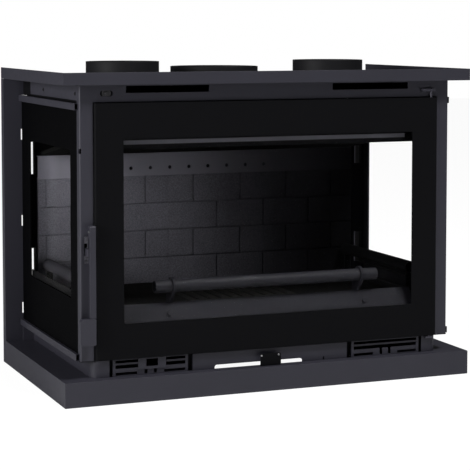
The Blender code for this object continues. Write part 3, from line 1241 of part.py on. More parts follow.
def air_control_slide(steel):
    """The bar behind the panel, its neck through the notch, and the finger plate in front."""
    near = PLINTH_BACK + GAP
    far = near + SLIDE_BAR_THICKNESS
    finger = FRONT + PULL_SETBACK
    bar = prism("air_control_slide", "Y", rectangle(-SLIDE_HALF, SLIDE_BAR_BOTTOM, SLIDE_HALF,
                                                    SLIDE_BAR_TOP), near, far, steel)
    leg = prism("slide_leg", "Y", rectangle(SLIDE_NECK_LEFT, SLIDE_NECK_BOTTOM, SLIDE_NECK_RIGHT,
                                            SLIDE_BAR_BOTTOM + SLIDE_BAR_THICKNESS), near, far, steel)
    neck = prism("slide_neck", "Y", rectangle(SLIDE_NECK_LEFT, SLIDE_NECK_BOTTOM, SLIDE_NECK_RIGHT,
                                              SLIDE_NECK_BOTTOM + SLIDE_NECK_HEIGHT),
                 finger + PULL_THICKNESS / 2, far - SLIDE_BAR_THICKNESS / 2, steel)
    pull_foot = BASE_HEIGHT + PULL_RISE
    outline = rounded(rectangle(PULL_LEFT, pull_foot, PULL_RIGHT, pull_foot + PULL_HEIGHT),
                      [PULL_BEND / 4, PULL_BEND / 4, PULL_BEND, PULL_BEND])
    plate = prism("slide_finger_plate", "Y", outline, finger, finger + PULL_THICKNESS, steel)
    return weld(bar, leg, neck, plate)


def air_register(steel):
    """The angle behind the slide, with the slots that the slide opens and shuts."""
    near = PLINTH_BACK + GAP
    web = near + SLIDE_BAR_THICKNESS + GAP
    top = SLIDE_BAR_TOP + GAP
    path = [(near, top), (web, top), (web, SLIDE_BAR_BOTTOM)]
    section = folded(path, REGISTER_WALL)
    register = prism("air_register", "X", section, REGISTER_LEFT, REGISTER_RIGHT, steel)
    middle = (SLIDE_BAR_BOTTOM + SLIDE_BAR_TOP) / 2
    for number, share in enumerate(REGISTER_SLOT_MIDDLE_SHARES):
        x = MID_PANEL_HALF * share
        slot = oblong(x - REGISTER_SLOT_HALF, middle - REGISTER_SLOT_HEIGHT / 2,
                      x + REGISTER_SLOT_HALF, middle + REGISTER_SLOT_HEIGHT / 2)
        cut(register, prism("register_slot_" + str(number), "Y", slot, web - OVERRUN,
                            web + REGISTER_WALL + OVERRUN))
    return register


def air_shutter(steel):
    """The sliding plate on the left grille, held by two headed stems in the grille's lower slot."""
    far = PLINTH_FACE - GAP
    slot_bottom = PLINTH_TOP - GRILLE_LOWER_ROW_BELOW_TOP
    hole_left = SHUTTER_LEFT + SHUTTER_HOLE_INSET
    hole_foot = BASE_HEIGHT + SHUTTER_HOLE_RISE
    hole = rectangle(hole_left, hole_foot, hole_left + SHUTTER_HOLE_WIDTH,
                     hole_foot + SHUTTER_HOLE_HEIGHT)
    plate = prism("air_shutter", "Y", rectangle(SHUTTER_LEFT, SHUTTER_BOTTOM, SHUTTER_RIGHT, PLINTH_TOP),
                  far - SHUTTER_THICKNESS, far, steel, holes=[hole])
    stem_top = slot_bottom + GRILLE_LOWER_ROW_HEIGHT - GAP
    head_near = PLINTH_BACK + GAP
    for place in ("left", "right"):
        middle = SHUTTER_LEFT + SHUTTER_STEM_INSET if place == "left" else SHUTTER_RIGHT - SHUTTER_STEM_INSET
        low, high = middle - SHUTTER_STEM_HALF, middle + SHUTTER_STEM_HALF
        stem = rectangle(low, slot_bottom + GAP, high, stem_top)
        head = rectangle(low, slot_bottom - SHUTTER_STEM_HALF, high, stem_top)
        weld(plate,
             prism(place + "_shutter_stem", "Y", stem, far - SHUTTER_THICKNESS / 2,
                   head_near + SHUTTER_HEAD_THICKNESS / 2, steel),
             prism(place + "_shutter_head", "Y", head, head_near, head_near + SHUTTER_HEAD_THICKNESS, steel))
    return plate


def build_sides(finishes):
    for name, side in SIDES:
        plinth_side(name, side, finishes["body"])
        grille(name, side, finishes["body"])
        side_frame(name, side, finishes["black"])
        side_glass(name, side, finishes["glass"])
        side_glass_retainer(name, side, finishes["inner"])
        side_rail(name + "_lower_rail", side, CARCASS_FOOT, finishes["body"])
        side_rail(name + "_upper_rail", side, SIDE_FRAME_TOP - RAIL_HEIGHT, finishes["body"])
        side_fascia(name, side, finishes["body"])
        rear_corner(name, side, finishes["inner"])
        side_lip(name, side, finishes["inner"])
        near, far = FRONT + SIDE_TUBE_FRONT, WALL_FACE - SIDE_TUBE_WALL_GAP
        log_tube(name + "_log_tube", (side * SIDE_TUBE_X, (near + far) / 2, TUBE_HEIGHT),
                 (far - near) / 2, True, finishes["inner"])
        collar(name + "_duct_collar", side * DUCT_X, DUCT_Y, DUCT_RADIUS, SHEET,
               CARCASS_TOP - SHEET * 2 - GAP, CARCASS_TOP + DUCT_RISE, DUCT_FLANGE,
               finishes["collar"])


def build_firebox(finishes):
    seal_frame(finishes["black"])
    air_wash_guide(finishes["black"])
    back_plate(finishes["inner"])
    back_duct_casing(finishes["inner"])
    brick_panel("brick_panel_left", -BRICK_HALF_WIDTH, PANEL_JOINT_X - GAP / 2, finishes["stone"])
    brick_panel("brick_panel_right", PANEL_JOINT_X + GAP / 2, BRICK_HALF_WIDTH, finishes["stone"])
    air_strip(finishes["inner"])
    baffle_plate(finishes["stone"])
    firebox_roof(finishes["inner"])
    ash_housing(finishes["inner"])
    floor_stone(finishes["stone"])
    grate(finishes["iron"])
    ash_pan(finishes["inner"])
    front_lip(finishes["inner"])
    log_tube("front_log_tube", (0, FRONT + FRONT_TUBE_SETBACK, TUBE_HEIGHT), FRONT_TUBE_HALF, False,
             finishes["inner"])
    collar("flue_collar", 0, FLUE_Y, FLUE_RADIUS, FLUE_WALL, ROOF_TOP + GAP, CARCASS_TOP + FLUE_RISE,
           0, finishes["collar"])


def build_moving(finishes):
    door = joint_empty("door_hinge", (HINGE_X, HINGE_Y, 0))
    carried_by(door, door_frame(finishes["black"]), door_glass(finishes["glass"]),
               door_glass_retainer(finishes["inner"]), door_gasket(finishes["rope"]),
               handle_pivot_pin(finishes["bright"]))
    handle = joint_empty("handle_pivot", (PIVOT_X, PIVOT_Y, PIVOT_Z))
    carried_by(door, handle)
    carried_by(handle, handle_lever(finishes["body"]), handle_grip(finishes["body"]))
    slide = joint_empty("air_control_rest", (0, PLINTH_BACK + GAP, SLIDE_BAR_BOTTOM))
    carried_by(slide, air_control_slide(finishes["black"]))
    shutter = joint_empty("air_shutter_rest", (SHUTTER_LEFT, PLINTH_FACE - GAP, SHUTTER_BOTTOM))
    carried_by(shutter, air_shutter(finishes["body"]))


def build():
    for old in list(bpy.context.scene.objects):
        bpy.data.objects.remove(old, do_unlink=True)
    finishes = {
        "body": material("anthracite_paint", (0.045, 0.046, 0.053), 0.55, 0.1),
        "black": material("black_paint", (0.006, 0.006, 0.007), 0.45),
        "collar": material("collar_paint", (0.020, 0.020, 0.023), 0.6, 0.1),
        "inner": material("inner_steel", (0.035, 0.035, 0.035), 0.6, 0.4),
        "iron": material("cast_iron", (0.03, 0.03, 0.028), 0.8, 0.3),
        "stone": material("refractory", (0.10, 0.095, 0.085), 0.95),
        "glass": material("ceramic_glass", (0.6, 0.62, 0.62), 0.05),
        "rope": material("sealing_rope", (0.25, 0.25, 0.24), 0.95),
        "bright": material("bright_steel", (0.45, 0.45, 0.46), 0.35, 1.0),
    }
    base_frame(finishes["body"])
    rear_frame(finishes["body"])
    top_frame(finishes["body"])
    front_frame(finishes["body"])
    plinth_mid_panel(finishes["body"])
    hearth_plate(finishes["inner"])
    top_cover_plate(finishes["body"])
    upper_hinge_bracket(finishes["bright"])
    lower_hinge_bracket(finishes["bright"])
    latch_keeper(finishes["bright"])
    air_register(finishes["inner"])
    build_sides(finishes)
    build_firebox(finishes)
    build_moving(finishes)


build()
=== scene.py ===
"""Looks of the wood-burning fireplace insert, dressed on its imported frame. Metres, +Z up."""
import json
import math

import bmesh
import bpy
from mathutils import Matrix, Vector

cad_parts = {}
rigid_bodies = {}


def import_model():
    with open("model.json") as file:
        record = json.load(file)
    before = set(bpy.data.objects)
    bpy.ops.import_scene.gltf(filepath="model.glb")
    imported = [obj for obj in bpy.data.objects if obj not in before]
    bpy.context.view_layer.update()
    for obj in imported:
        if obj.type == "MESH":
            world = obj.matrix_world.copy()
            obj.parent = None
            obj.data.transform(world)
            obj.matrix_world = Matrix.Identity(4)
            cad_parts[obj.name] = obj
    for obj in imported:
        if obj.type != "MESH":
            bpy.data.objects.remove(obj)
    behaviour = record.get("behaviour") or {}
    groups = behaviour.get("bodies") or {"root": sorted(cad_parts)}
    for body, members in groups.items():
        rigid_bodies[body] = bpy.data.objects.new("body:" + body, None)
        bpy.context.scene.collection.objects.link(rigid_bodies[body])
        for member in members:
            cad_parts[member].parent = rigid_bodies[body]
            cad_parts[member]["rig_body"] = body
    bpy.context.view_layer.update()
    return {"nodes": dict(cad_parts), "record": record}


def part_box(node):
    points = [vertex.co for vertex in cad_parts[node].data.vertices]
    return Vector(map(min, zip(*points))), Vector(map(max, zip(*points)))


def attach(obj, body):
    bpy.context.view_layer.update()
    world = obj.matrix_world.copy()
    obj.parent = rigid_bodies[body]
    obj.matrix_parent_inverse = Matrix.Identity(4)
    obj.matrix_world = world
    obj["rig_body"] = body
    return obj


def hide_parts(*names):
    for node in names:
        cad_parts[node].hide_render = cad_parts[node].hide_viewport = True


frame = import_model()
nodes = frame["nodes"]
slots = {part["node"]: part["material_slot"] for part in frame["record"]["subparts"]}
mm = 0.001

# Where the photograph was taken from
CAMERA_PLACE = (-1.3257, -3.3304, 0.7461)
CAMERA_AZIMUTH = 21.832
CAMERA_TILT = 3.933
CAMERA_LENS = 126.11
CAMERA_SENSOR = 36.0
CAMERA_SHIFT = -0.2
CAMERA_REACH = 100

# Strength of the room's light in front of the object and behind it, and where it rises
ROOM_FRONT = 0.02
ROOM_BACK = 0.07
ROOM_DIM_UNTIL = -0.5
ROOM_BRIGHT_FROM = 0.3

# The lamps: name, place, width, height, power
LAMP_AIM = (0, 0, 0.35)
LAMPS = (
    ("left_panel", (-3.1, -1.0, 1.2), 1.6, 1.2, 76),
    ("key_panel", (1.1, -2.1, 4.0), 1.2, 0.9, 152),
)

# The white floor
FLOOR_HALF = 12.0
FLOOR_BELOW = 0.0002
FLOOR_TONE = (0.8, 0.8, 0.8, 1)
FLOOR_ROUGHNESS = 0.9
FLOOR_GLOW_SHARE = 0.85
FLOOR_GLOW = 1.12

# Steel nodes shown with eased edges
EASED_NODES = (
    "front_frame", "door_frame", "top_frame", "base_frame", "top_cover_plate",
    "left_upper_rail", "left_lower_rail", "right_upper_rail", "right_lower_rail",
    "left_plinth_side", "right_plinth_side", "plinth_mid_panel", "left_grille", "right_grille",
    "handle_lever", "handle_grip", "air_control_slide", "front_lip", "seal_frame",
    "left_side_fascia", "right_side_fascia", "door_glass_retainer",
    "front_log_tube", "left_log_tube", "right_log_tube",
    "flue_collar", "left_duct_collar", "right_duct_collar", "grate",
)
EASED_WIDTH = 0.4 * mm
SAME_POINT = 0.001 * mm
SAME_PLANE = math.radians(0.5)
SHARP_FROM = math.radians(40)
BROAD_TURN = math.cos(math.radians(50))

# Turned heads: sides of a round ring, and the two kinds of ring
TURN_SIDES = 24
ROUND, HEXAGONAL = "round", "hexagonal"

# Ways that a head faces
FRONT, REAR, LEFT, RIGHT = (0, -1, 0), (0, 1, 0), (-1, 0, 0), (1, 0, 0)
LIP_SLOPE = Vector((0, -0.9, 0.5)).normalized()

# Bolt in the left slot of the fascia
SLOT_BOLT_ALONG = -0.3542
SLOT_BOLT_HEIGHT = 0.6170
FASCIA_BACK = -0.2230
SLOT_BOLT_SET_BACK = 1.0 * mm

# Screws of the side fascias, from front to rear
SIDE_SCREW_PLACES = (-0.1990, 0.0363)
SIDE_SCREW_HEIGHT = 0.6162

# Bolts of the fire bed's lip
LIP_BOLT_HALF = 0.2195
LIP_BOLT_DEPTH = -0.2096
LIP_BOLT_HEIGHT = 0.1672

# Rivets of the air control's finger plate
PULL_MIDDLE = -0.0086
PULL_RIVET_HALF = 0.0190
PULL_RIVET_HEIGHT = 0.0722
RIVET_RINGS = ((2.3 * mm, 0, ROUND), (2.1 * mm, 0.7 * mm, ROUND), (1.2 * mm, 1.2 * mm, ROUND))

# Screws of the door glass retainer: shares of the length of a row and of a side
RETAINER_SCREW_INSET = 6.5 * mm
ROW_SHARES = (0.0, 0.25, 0.5, 0.75, 1.0)
SIDE_SHARES = (1 / 3, 2 / 3)

# Small plates that lie on a face, a hair away from it
PLATE_GAP = 0.05 * mm
CLIP_LEFT, CLIP_RIGHT = 0.3085, 0.3290
CLIP_BOTTOM, CLIP_TOP = 0.5090, 0.5340
CLIP_REACH = 1.5 * mm
CLIP_CORNER = 7 * mm
WASH_EDGE_LEFT, WASH_EDGE_RIGHT = -0.3370, 0.3170
WASH_EDGE_BOTTOM, WASH_EDGE_TOP = 0.5138, 0.5220
WASH_EDGE_REACH = 1.2 * mm

# Painted shade across the back wall: its ends, and shares of the full colour from left to right
WALL_SHADE_LEFT = -0.40
WALL_SHADE_RIGHT = 0.40
WALL_SHADE_SHARES = (
    (0.045, 1.0), (0.085, 0.60), (0.16, 0.44), (0.316, 0.307), (0.46, 0.232),
    (0.59, 0.105), (0.73, 0.048), (0.876, 0.022), (0.96, 0.010),
)


def new_finish(name):
    """A new material with its node tree, its Principled shader and its output."""
    finish = bpy.data.materials.new(name)
    finish.use_nodes = True
    shaders = finish.node_tree.nodes
    return finish, finish.node_tree, shaders["Principled BSDF"], shaders["Material Output"]


def add(net, kind, **values):
    """A shader node with plain values set on its inputs or its own settings."""
    node = net.nodes.new("ShaderNode" + kind)
    for key, value in values.items():
        if key in node.inputs.keys():
            node.inputs[key].default_value = value
        else:
            setattr(node, key, value)
    return node


def set_inputs(node, values):
    """Plain values on inputs of a shader node, by their names."""
    for name, value in values.items():
        node.inputs[name].default_value = value


def noise(net, scale, detail=4.0, roughness=0.55, stretch=(1, 1, 1)):
    """A noise on Object coordinates, in waves per metre."""
    place = add(net, "TexCoord")
    mapping = add(net, "Mapping", Scale=stretch)
    pattern = add(net, "TexNoise", Scale=scale, Detail=detail, Roughness=roughness)
    net.links.new(place.outputs["Object"], mapping.inputs["Vector"])
    net.links.new(mapping.outputs["Vector"], pattern.inputs["Vector"])
    return pattern.outputs["Fac"]


def ramp(net, source, *stops):
    """A colour ramp over a source; each stop is a place and a grey or a colour."""
    node = add(net, "ValToRGB")
    strip = node.color_ramp
    while len(strip.elements) < len(stops):
        strip.elements.new(1.0)
    for element, (place, colour) in zip(strip.elements, stops):
        element.position = place
        element.color = (*colour, 1) if isinstance(colour, tuple) else (colour, colour, colour, 1)
    net.links.new(source, node.inputs["Fac"])
    return node.outputs["Color"]


def bump(net, shader, height, strength, depth):
    """A relief on a shader, from a height between 0 and 1."""
    relief = add(net, "Bump", Strength=strength, Distance=depth)
    net.links.new(height, relief.inputs["Height"])
    net.links.new(relief.outputs["Normal"], shader.inputs["Normal"])


def tinted(colour, factor):
    """A colour made lighter or darker, up to white."""
    return tuple(min(1.0, channel * factor) for channel in colour)


def product(net, first, second):
    """Two colours multiplied."""
    mix = add(net, "Mix", data_type="RGBA", blend_type="MULTIPLY")
    mix.inputs["Factor"].default_value = 1.0
    net.links.new(first, mix.inputs["A"])
    net.links.new(second, mix.inputs["B"])
    return mix.outputs["Result"]


def painted_wall_shade(net):
    """Painted shade across the back wall: the full colour at its left end, darkening towards its right
    end.
    """
    place = add(net, "TexCoord")
    split = add(net, "SeparateXYZ")
    along = add(net, "MapRange")
    set_inputs(along, {"From Min": WALL_SHADE_LEFT, "From Max": WALL_SHADE_RIGHT})
    net.links.new(place.outputs["Object"], split.inputs["Vector"])
    net.links.new(split.outputs["X"], along.inputs["Value"])
    return ramp(net, along.outputs["Result"], *WALL_SHADE_SHARES)


def sprayed_steel(name, colour, gloss, metal=0.0, grain=900.0, shine=0.5, wall_shaded=False):
    """Heatproof spray paint: faint clouds of tone, a fine grain, a slightly uneven sheen."""
    finish, net, shader, _ = new_finish(name)
    clouds = noise(net, scale=9.0, detail=3.0)
    tone = ramp(net, clouds, (0.3, tinted(colour, 0.95)), (0.7, tinted(colour, 1.05)))
    # painted shade across the back wall, when asked for
    if wall_shaded:
        tone = product(net, tone, painted_wall_shade(net))
    net.links.new(tone, shader.inputs["Base Color"])
    sheen = noise(net, scale=60.0, detail=5.0)
    sheen_tone = ramp(net, sheen, (0.3, gloss - 0.02), (0.7, gloss + 0.02))
    net.links.new(sheen_tone, shader.inputs["Roughness"])
    set_inputs(shader, {"Metallic": metal, "Specular IOR Level": shine})
    bump(net, shader, noise(net, scale=grain, detail=2.0), strength=0.06, depth=0.10 * mm)
    return finish


def refractory(name, colour, smoked, wall_shaded=False):
    """Pressed vermiculite: flecks, pores and smoked patches."""
    finish, net, shader, _ = new_finish(name)
    flecks = ramp(net, noise(net, scale=420.0, detail=6.0, roughness=0.7),
                  (0.35, tinted(colour, 0.55)), (0.5, colour), (0.68, tinted(colour, 1.5)))
    patches = ramp(net, noise(net, scale=7.0), (0.35, smoked), (0.75, 1.0))
    tone = product(net, flecks, patches)
    # painted shade across the back wall, when asked for
    if wall_shaded:
        tone = product(net, tone, painted_wall_shade(net))
    net.links.new(tone, shader.inputs["Base Color"])
    set_inputs(shader, {"Roughness": 0.95, "Specular IOR Level": 0.04})
    pores = noise(net, scale=700.0, detail=6.0, roughness=0.7)
    bump(net, shader, pores, strength=0.5, depth=0.6 * mm)
    return finish


def clear_glass(name, tint):
    """Ceramic glass that lets the lamps and the light in the firebox through unbent."""
    finish, net, shader, output = new_finish(name)
    set_inputs(shader, {"Base Color": (*tint, 1), "Roughness": 0.0, "Transmission Weight": 1.0,
                        "IOR": 1.015, "Specular IOR Level": 0.5})
    path = add(net, "LightPath")
    through = add(net, "BsdfTransparent", Color=(*tint, 1))
    seen = shader.outputs["BSDF"]
    for kind in ("Is Shadow Ray", "Is Diffuse Ray"):
        mix = add(net, "MixShader")
        net.links.new(path.outputs[kind], mix.inputs["Fac"])
        net.links.new(seen, mix.inputs[1])
        net.links.new(through.outputs["BSDF"], mix.inputs[2])
        seen = mix.outputs["Shader"]
    net.links.new(seen, output.inputs["Surface"])
    return finish


def cast_iron(name, dark, light):
    """Raw castings: a coarse skin, near black, with hardly any sheen."""
    finish, net, shader, _ = new_finish(name)
    tone = ramp(net, noise(net, scale=120.0, detail=6.0), (0.3, dark), (0.7, light))
    net.links.new(tone, shader.inputs["Base Color"])
    set_inputs(shader, {"Specular IOR Level": 0.1, "Roughness": 0.85})
    bump(net, shader, noise(net, scale=500.0, detail=6.0), strength=0.6, depth=0.5 * mm)
    return finish


def zinc_steel(name, tone):
    """Plated steel with fine drawn lines."""
    finish, net, shader, _ = new_finish(name)
    spots = ramp(net, noise(net, scale=60.0), (0.3, tinted(tone, 0.8)), (0.7, tinted(tone, 1.2)))
    net.links.new(spots, shader.inputs["Base Color"])
    shader.inputs["Metallic"].default_value = 1.0
    lines = noise(net, scale=300.0, detail=3.0, roughness=0.5, stretch=(6, 6, 1))
    net.links.new(ramp(net, lines, (0.3, 0.30), (0.7, 0.45)), shader.inputs["Roughness"])
    return finish


def glass_rope(name, dark, light):
    """Braided glass fibre: a slanting twist in tone and in relief."""
    finish, net, shader, _ = new_finish(name)
    place = add(net, "TexCoord")
    twist = add(net, "TexWave", wave_type="BANDS", bands_direction="DIAGONAL", Scale=160.0,
                Distortion=1.5)
    net.links.new(place.outputs["Object"], twist.inputs["Vector"])
    strands = ramp(net, twist.outputs["Fac"], (0.1, dark), (0.8, light))
    net.links.new(strands, shader.inputs["Base Color"])
    shader.inputs["Roughness"].default_value = 0.95
    bump(net, shader, twist.outputs["Fac"], strength=0.8, depth=0.8 * mm)
    return finish


finishes = {
    "body": sprayed_steel("anthracite_spray", (0.0292, 0.0284, 0.0405), gloss=0.52, metal=0.15),
    "black": sprayed_steel("black_spray", (0.0034, 0.0034, 0.0043), gloss=0.62, shine=0.08),
    # A darker copy of the black paint; on the left side frame and the rear corners it is painted shade
    "darkened_black": sprayed_steel("darkened_black_spray", (0.0014, 0.0014, 0.0018), gloss=0.7, shine=0.02),
    "collar": sprayed_steel("collar_spray", (0.0095, 0.0094, 0.0110), gloss=0.6, shine=0.2),
    "inner": sprayed_steel("firebox_spray", (0.0092, 0.0090, 0.0126), gloss=0.65, grain=500.0,
                           shine=0.2),
    # A lighter copy of the body paint: painted light on the hinge brackets
    "hinge": sprayed_steel("hinge_lit_spray", (0.062, 0.060, 0.080), gloss=0.5, metal=0.15),
    # A lighter copy of the firebox paint: painted light on the left log tube
    "tube": sprayed_steel("left_log_tube_lit_spray", (0.0180, 0.0175, 0.0225), gloss=0.6, shine=0.2),
    # A pale copy of the paint: a painted highlight on the lit edge of the air wash guide
    "painted_highlight": sprayed_steel("air_wash_edge_highlight_spray", (0.115, 0.112, 0.132), gloss=0.6, shine=0.2),
    # A darker copy of the firebox paint: painted shade on the front lip and its bolts
    "shaded_steel": sprayed_steel("front_lip_shaded_spray", (0.0072, 0.0070, 0.0102), gloss=0.65,
                                  grain=500.0, shine=0.15),
    # A near-black copy of the firebox paint: painted shade on the right log tube, the side lips and
    # the side glass retainers
    "shaded": sprayed_steel("firebox_shade_spray", (0.0030, 0.0030, 0.0034), gloss=0.7, grain=500.0,
                            shine=0.05),
    # The air strip and the brick boards carry the painted shade across the back wall
    "strip": sprayed_steel("air_strip_spray", (0.630, 0.615, 0.720), gloss=0.7, grain=500.0,
                           shine=0.04, wall_shaded=True),
    "iron": cast_iron("grate_iron", dark=(0.0035, 0.0035, 0.0033), light=(0.0090, 0.0088, 0.0080)),
    "stone": refractory("brick_board", (0.500, 0.489, 0.570), smoked=0.8, wall_shaded=True),
    "ash_grey": refractory("fire_bed_board", (0.0050, 0.0050, 0.0048), smoked=0.6),
    "glass": clear_glass("ceramic_pane", (1.0, 1.0, 1.0)),
    "rope": glass_rope("sealing_rope", dark=(0.05, 0.05, 0.047), light=(0.14, 0.14, 0.134)),
    "bright": zinc_steel("zinc_steel", (0.38, 0.38, 0.39)),
    "dull": zinc_steel("phosphated_steel", (0.110, 0.108, 0.115)),
}

# Nodes whose finish is not that of their slot
OTHER_FINISH = {
    # the firebox roof in the black paint, darker than the firebox's own: painted shade in the hollow
    # seen through the fascia slots
    "firebox_roof": "black",
    # the hinge brackets in a lighter copy of the body paint: painted light
    "upper_hinge_bracket": "hinge", "lower_hinge_bracket": "hinge",
    # the left side frame and the rear corners in the darker black: painted shade
    "latch_keeper": "darkened_black", "left_side_frame": "darkened_black",
    "left_rear_corner": "darkened_black", "right_rear_corner": "darkened_black",
    # the left log tube in a lighter copy of the firebox paint: painted light
    "left_log_tube": "tube", "front_lip": "shaded_steel", "air_strip": "strip",
    "baffle_plate": "ash_grey", "floor_stone": "ash_grey",
    "right_log_tube": "shaded", "left_side_lip": "shaded", "right_side_lip": "shaded",
    "left_side_glass_retainer": "shaded", "right_side_glass_retainer": "shaded",
}


def dress_nodes():
    """Every node in the finish of its slot, or in its own."""
    for node, slot in slots.items():
        mesh = nodes[node].data
        mesh.materials.clear()
        mesh.materials.append(finishes[OTHER_FINISH.get(node, slot)])


def piece(name, bm, body, finish):
    """A finished piece of the object, riding a body."""
    mesh = bpy.data.meshes.new(name)
    bm.to_mesh(mesh)
    bm.free()
    mesh.materials.append(finish)
    item = bpy.data.objects.new(name, mesh)
    bpy.context.scene.collection.objects.link(item)
    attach(item, body)
    return item


def eased(node):
    """A copy of a steel node with its cut and folded edges eased, shown in the node's place."""
    source = nodes[node]
    bm = bmesh.new()
    bm.from_mesh(source.data)
    bmesh.ops.remove_doubles(bm, verts=bm.verts, dist=SAME_POINT)
    bmesh.ops.dissolve_limit(bm, angle_limit=SAME_PLANE, verts=bm.verts, edges=bm.edges)
    sharp = [edge for edge in bm.edges
             if len(edge.link_faces) == 2 and edge.calc_face_angle(0.0) > SHARP_FROM]
    bmesh.ops.bevel(bm, geom=sharp, offset=EASED_WIDTH, offset_type="OFFSET", segments=2,
                    profile=0.5, affect="EDGES", clamp_overlap=True, material=-1)
    for face in bm.faces:
        face.smooth = True
    item = piece(node + "_eased", bm, source["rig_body"], source.data.materials[0])
    broad_normals(item.data)
    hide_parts(node)


def broad_normals(mesh):
    """Corner normals that follow the broad faces, so that eased edges shade as narrow rounds."""
    around = {}
    for face in mesh.polygons:
        for corner in face.loop_indices:
            around.setdefault(mesh.loops[corner].vertex_index, []).append(face)
    normals = [None] * len(mesh.loops)
    for face in mesh.polygons:
        for corner in face.loop_indices:
            total = Vector()
            for other in around[mesh.loops[corner].vertex_index]:
                if other.normal.dot(face.normal) > BROAD_TURN:
                    total += other.normal * other.area
            normals[corner] = tuple(total.normalized() if total.length else face.normal)
    mesh.normals_split_custom_set(normals)


def shape_ring(corners, radius, height, kind):
    """Corners of a disc set to a round ring's radius, or to a hexagon's half width over its flats."""
    for corner in corners:
        angle = math.atan2(corner.co.y, corner.co.x)
        off_flat = angle % (math.pi / 3) - math.pi / 6
        reach = radius / math.cos(off_flat) if kind == HEXAGONAL else radius
        corner.co = (reach * math.cos(angle), reach * math.sin(angle), height)


def turned_head(bm, rings, place, direction):
    """A disc extruded from ring to ring, then stood at a place and turned to face a direction."""
    corners = bmesh.ops.create_circle(bm, cap_ends=True, segments=TURN_SIDES, radius=1.0)["verts"]
    cap = corners[0].link_faces[0]
    shape_ring(corners, *rings[0])
    for ring in rings[1:]:
        region = [cap, *cap.edges, *cap.verts]
        grown = bmesh.ops.extrude_face_region(bm, geom=region)["geom"]
        cap = next(item for item in grown if isinstance(item, bmesh.types.BMFace))
        shape_ring(cap.verts, *ring)
        corners += cap.verts
    facing = Vector(direction).to_track_quat("Z", "Y").to_matrix().to_4x4()
    bmesh.ops.transform(bm, matrix=Matrix.Translation(place) @ facing, verts=corners)


def fasteners(name, body, finish, rings, seats):
    """Equal fasteners as one piece; each seat is a place and the way the head faces."""
    bm = bmesh.new()
    for place, direction in seats:
        turned_head(bm, rings, place, direction)
    bmesh.ops.recalc_face_normals(bm, faces=bm.faces)
    piece(name, bm, body, finishes[finish])


def socket_head(radius, height):
    """Rings of a button head with a hexagon socket."""
    return ((radius, 0, ROUND), (radius, 0.3 * height, ROUND),
            (0.86 * radius, 0.72 * height, ROUND), (0.58 * radius, height, ROUND),
            (0.40 * radius, height, HEXAGONAL), (0.40 * radius, 0.4 * height, HEXAGONAL))


def hexagon_head(half_flats, height, washer, thickness):
    """Rings of a hexagon head, its top chamfered, on its washer."""
    return ((washer, 0, ROUND), (washer, thickness, ROUND),
            (half_flats, thickness, HEXAGONAL), (half_flats, thickness + 0.82 * height, HEXAGONAL),
            (0.9 * half_flats, thickness + height, ROUND))


def plate(name, body, finish, low, high, corner=0.0):
    """A small upright plate between two corners of a box, its four outline corners rounded."""
    low, high = Vector(low), Vector(high)
    size = Matrix.Diagonal((*(high - low), 1.0))
    bm = bmesh.new()
    bmesh.ops.create_cube(bm, size=1.0, matrix=Matrix.Translation((low + high) / 2) @ size)
    if corner:
        through = [edge for edge in bm.edges
                   if abs(edge.verts[0].co.y - edge.verts[1].co.y) > SAME_POINT]
        bmesh.ops.bevel(bm, geom=through, offset=corner, offset_type="OFFSET", segments=5,
                        profile=0.5, affect="EDGES", clamp_overlap=True, material=-1)
    bmesh.ops.recalc_face_normals(bm, faces=bm.faces)
    piece(name, bm, body, finishes[finish])


def fascia_slot_bolt():
    """The bolt that shows in the left oval slot of the fascia."""
    place = (SLOT_BOLT_ALONG, FASCIA_BACK + SLOT_BOLT_SET_BACK, SLOT_BOLT_HEIGHT)
    head = hexagon_head(half_flats=4.0 * mm, height=3.0 * mm, washer=9.5 * mm, thickness=0.9 * mm)
    fasteners("fascia_slot_bolt", "root", "dull", head, [(place, FRONT)])


def side_fascia_screws():
    """Two button heads on each side fascia."""
    left_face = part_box("left_side_fascia")[0].x
    right_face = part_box("right_side_fascia")[1].x
    seats = [((face, along, SIDE_SCREW_HEIGHT), outward)
             for face, outward in ((left_face, LEFT), (right_face, RIGHT))
             for along in SIDE_SCREW_PLACES]
    head = socket_head(radius=3.6 * mm, height=2.0 * mm)
    fasteners("side_fascia_screws", "root", "collar", head, seats)


def fire_bed_lip_bolts():
    """Two bolts that hold the sloping front lip of the fire bed."""
    seats = [((along, LIP_BOLT_DEPTH, LIP_BOLT_HEIGHT), LIP_SLOPE)
             for along in (-LIP_BOLT_HALF, LIP_BOLT_HALF)]
    head = hexagon_head(half_flats=4.0 * mm, height=2.8 * mm, washer=6.5 * mm, thickness=0.9 * mm)
    fasteners("fire_bed_lip_bolts", "root", "shaded_steel", head, seats)


def air_control_rivets():
    """Two rivets on the finger plate of the air control."""
    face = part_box("air_control_slide")[0].y
    seats = [((PULL_MIDDLE + offset, face, PULL_RIVET_HEIGHT), FRONT)
             for offset in (-PULL_RIVET_HALF, PULL_RIVET_HALF)]
    fasteners("air_control_rivets", "air_control", "bright", RIVET_RINGS, seats)


def glass_retainer_screws():
    """Screws all round the door glass retainer, on its rear face."""
    low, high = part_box("door_glass_retainer")
    left, right = low.x + RETAINER_SCREW_INSET, high.x - RETAINER_SCREW_INSET
    bottom, top = low.z + RETAINER_SCREW_INSET, high.z - RETAINER_SCREW_INSET
    rows = [(left + share * (right - left), row) for share in ROW_SHARES for row in (bottom, top)]
    sides = [(side, bottom + share * (top - bottom)) for side in (left, right)
             for share in SIDE_SHARES]
    seats = [((along, high.y, up), REAR) for along, up in rows + sides]
    head = socket_head(radius=3.2 * mm, height=1.9 * mm)
    fasteners("glass_retainer_screws", "door", "bright", head, seats)


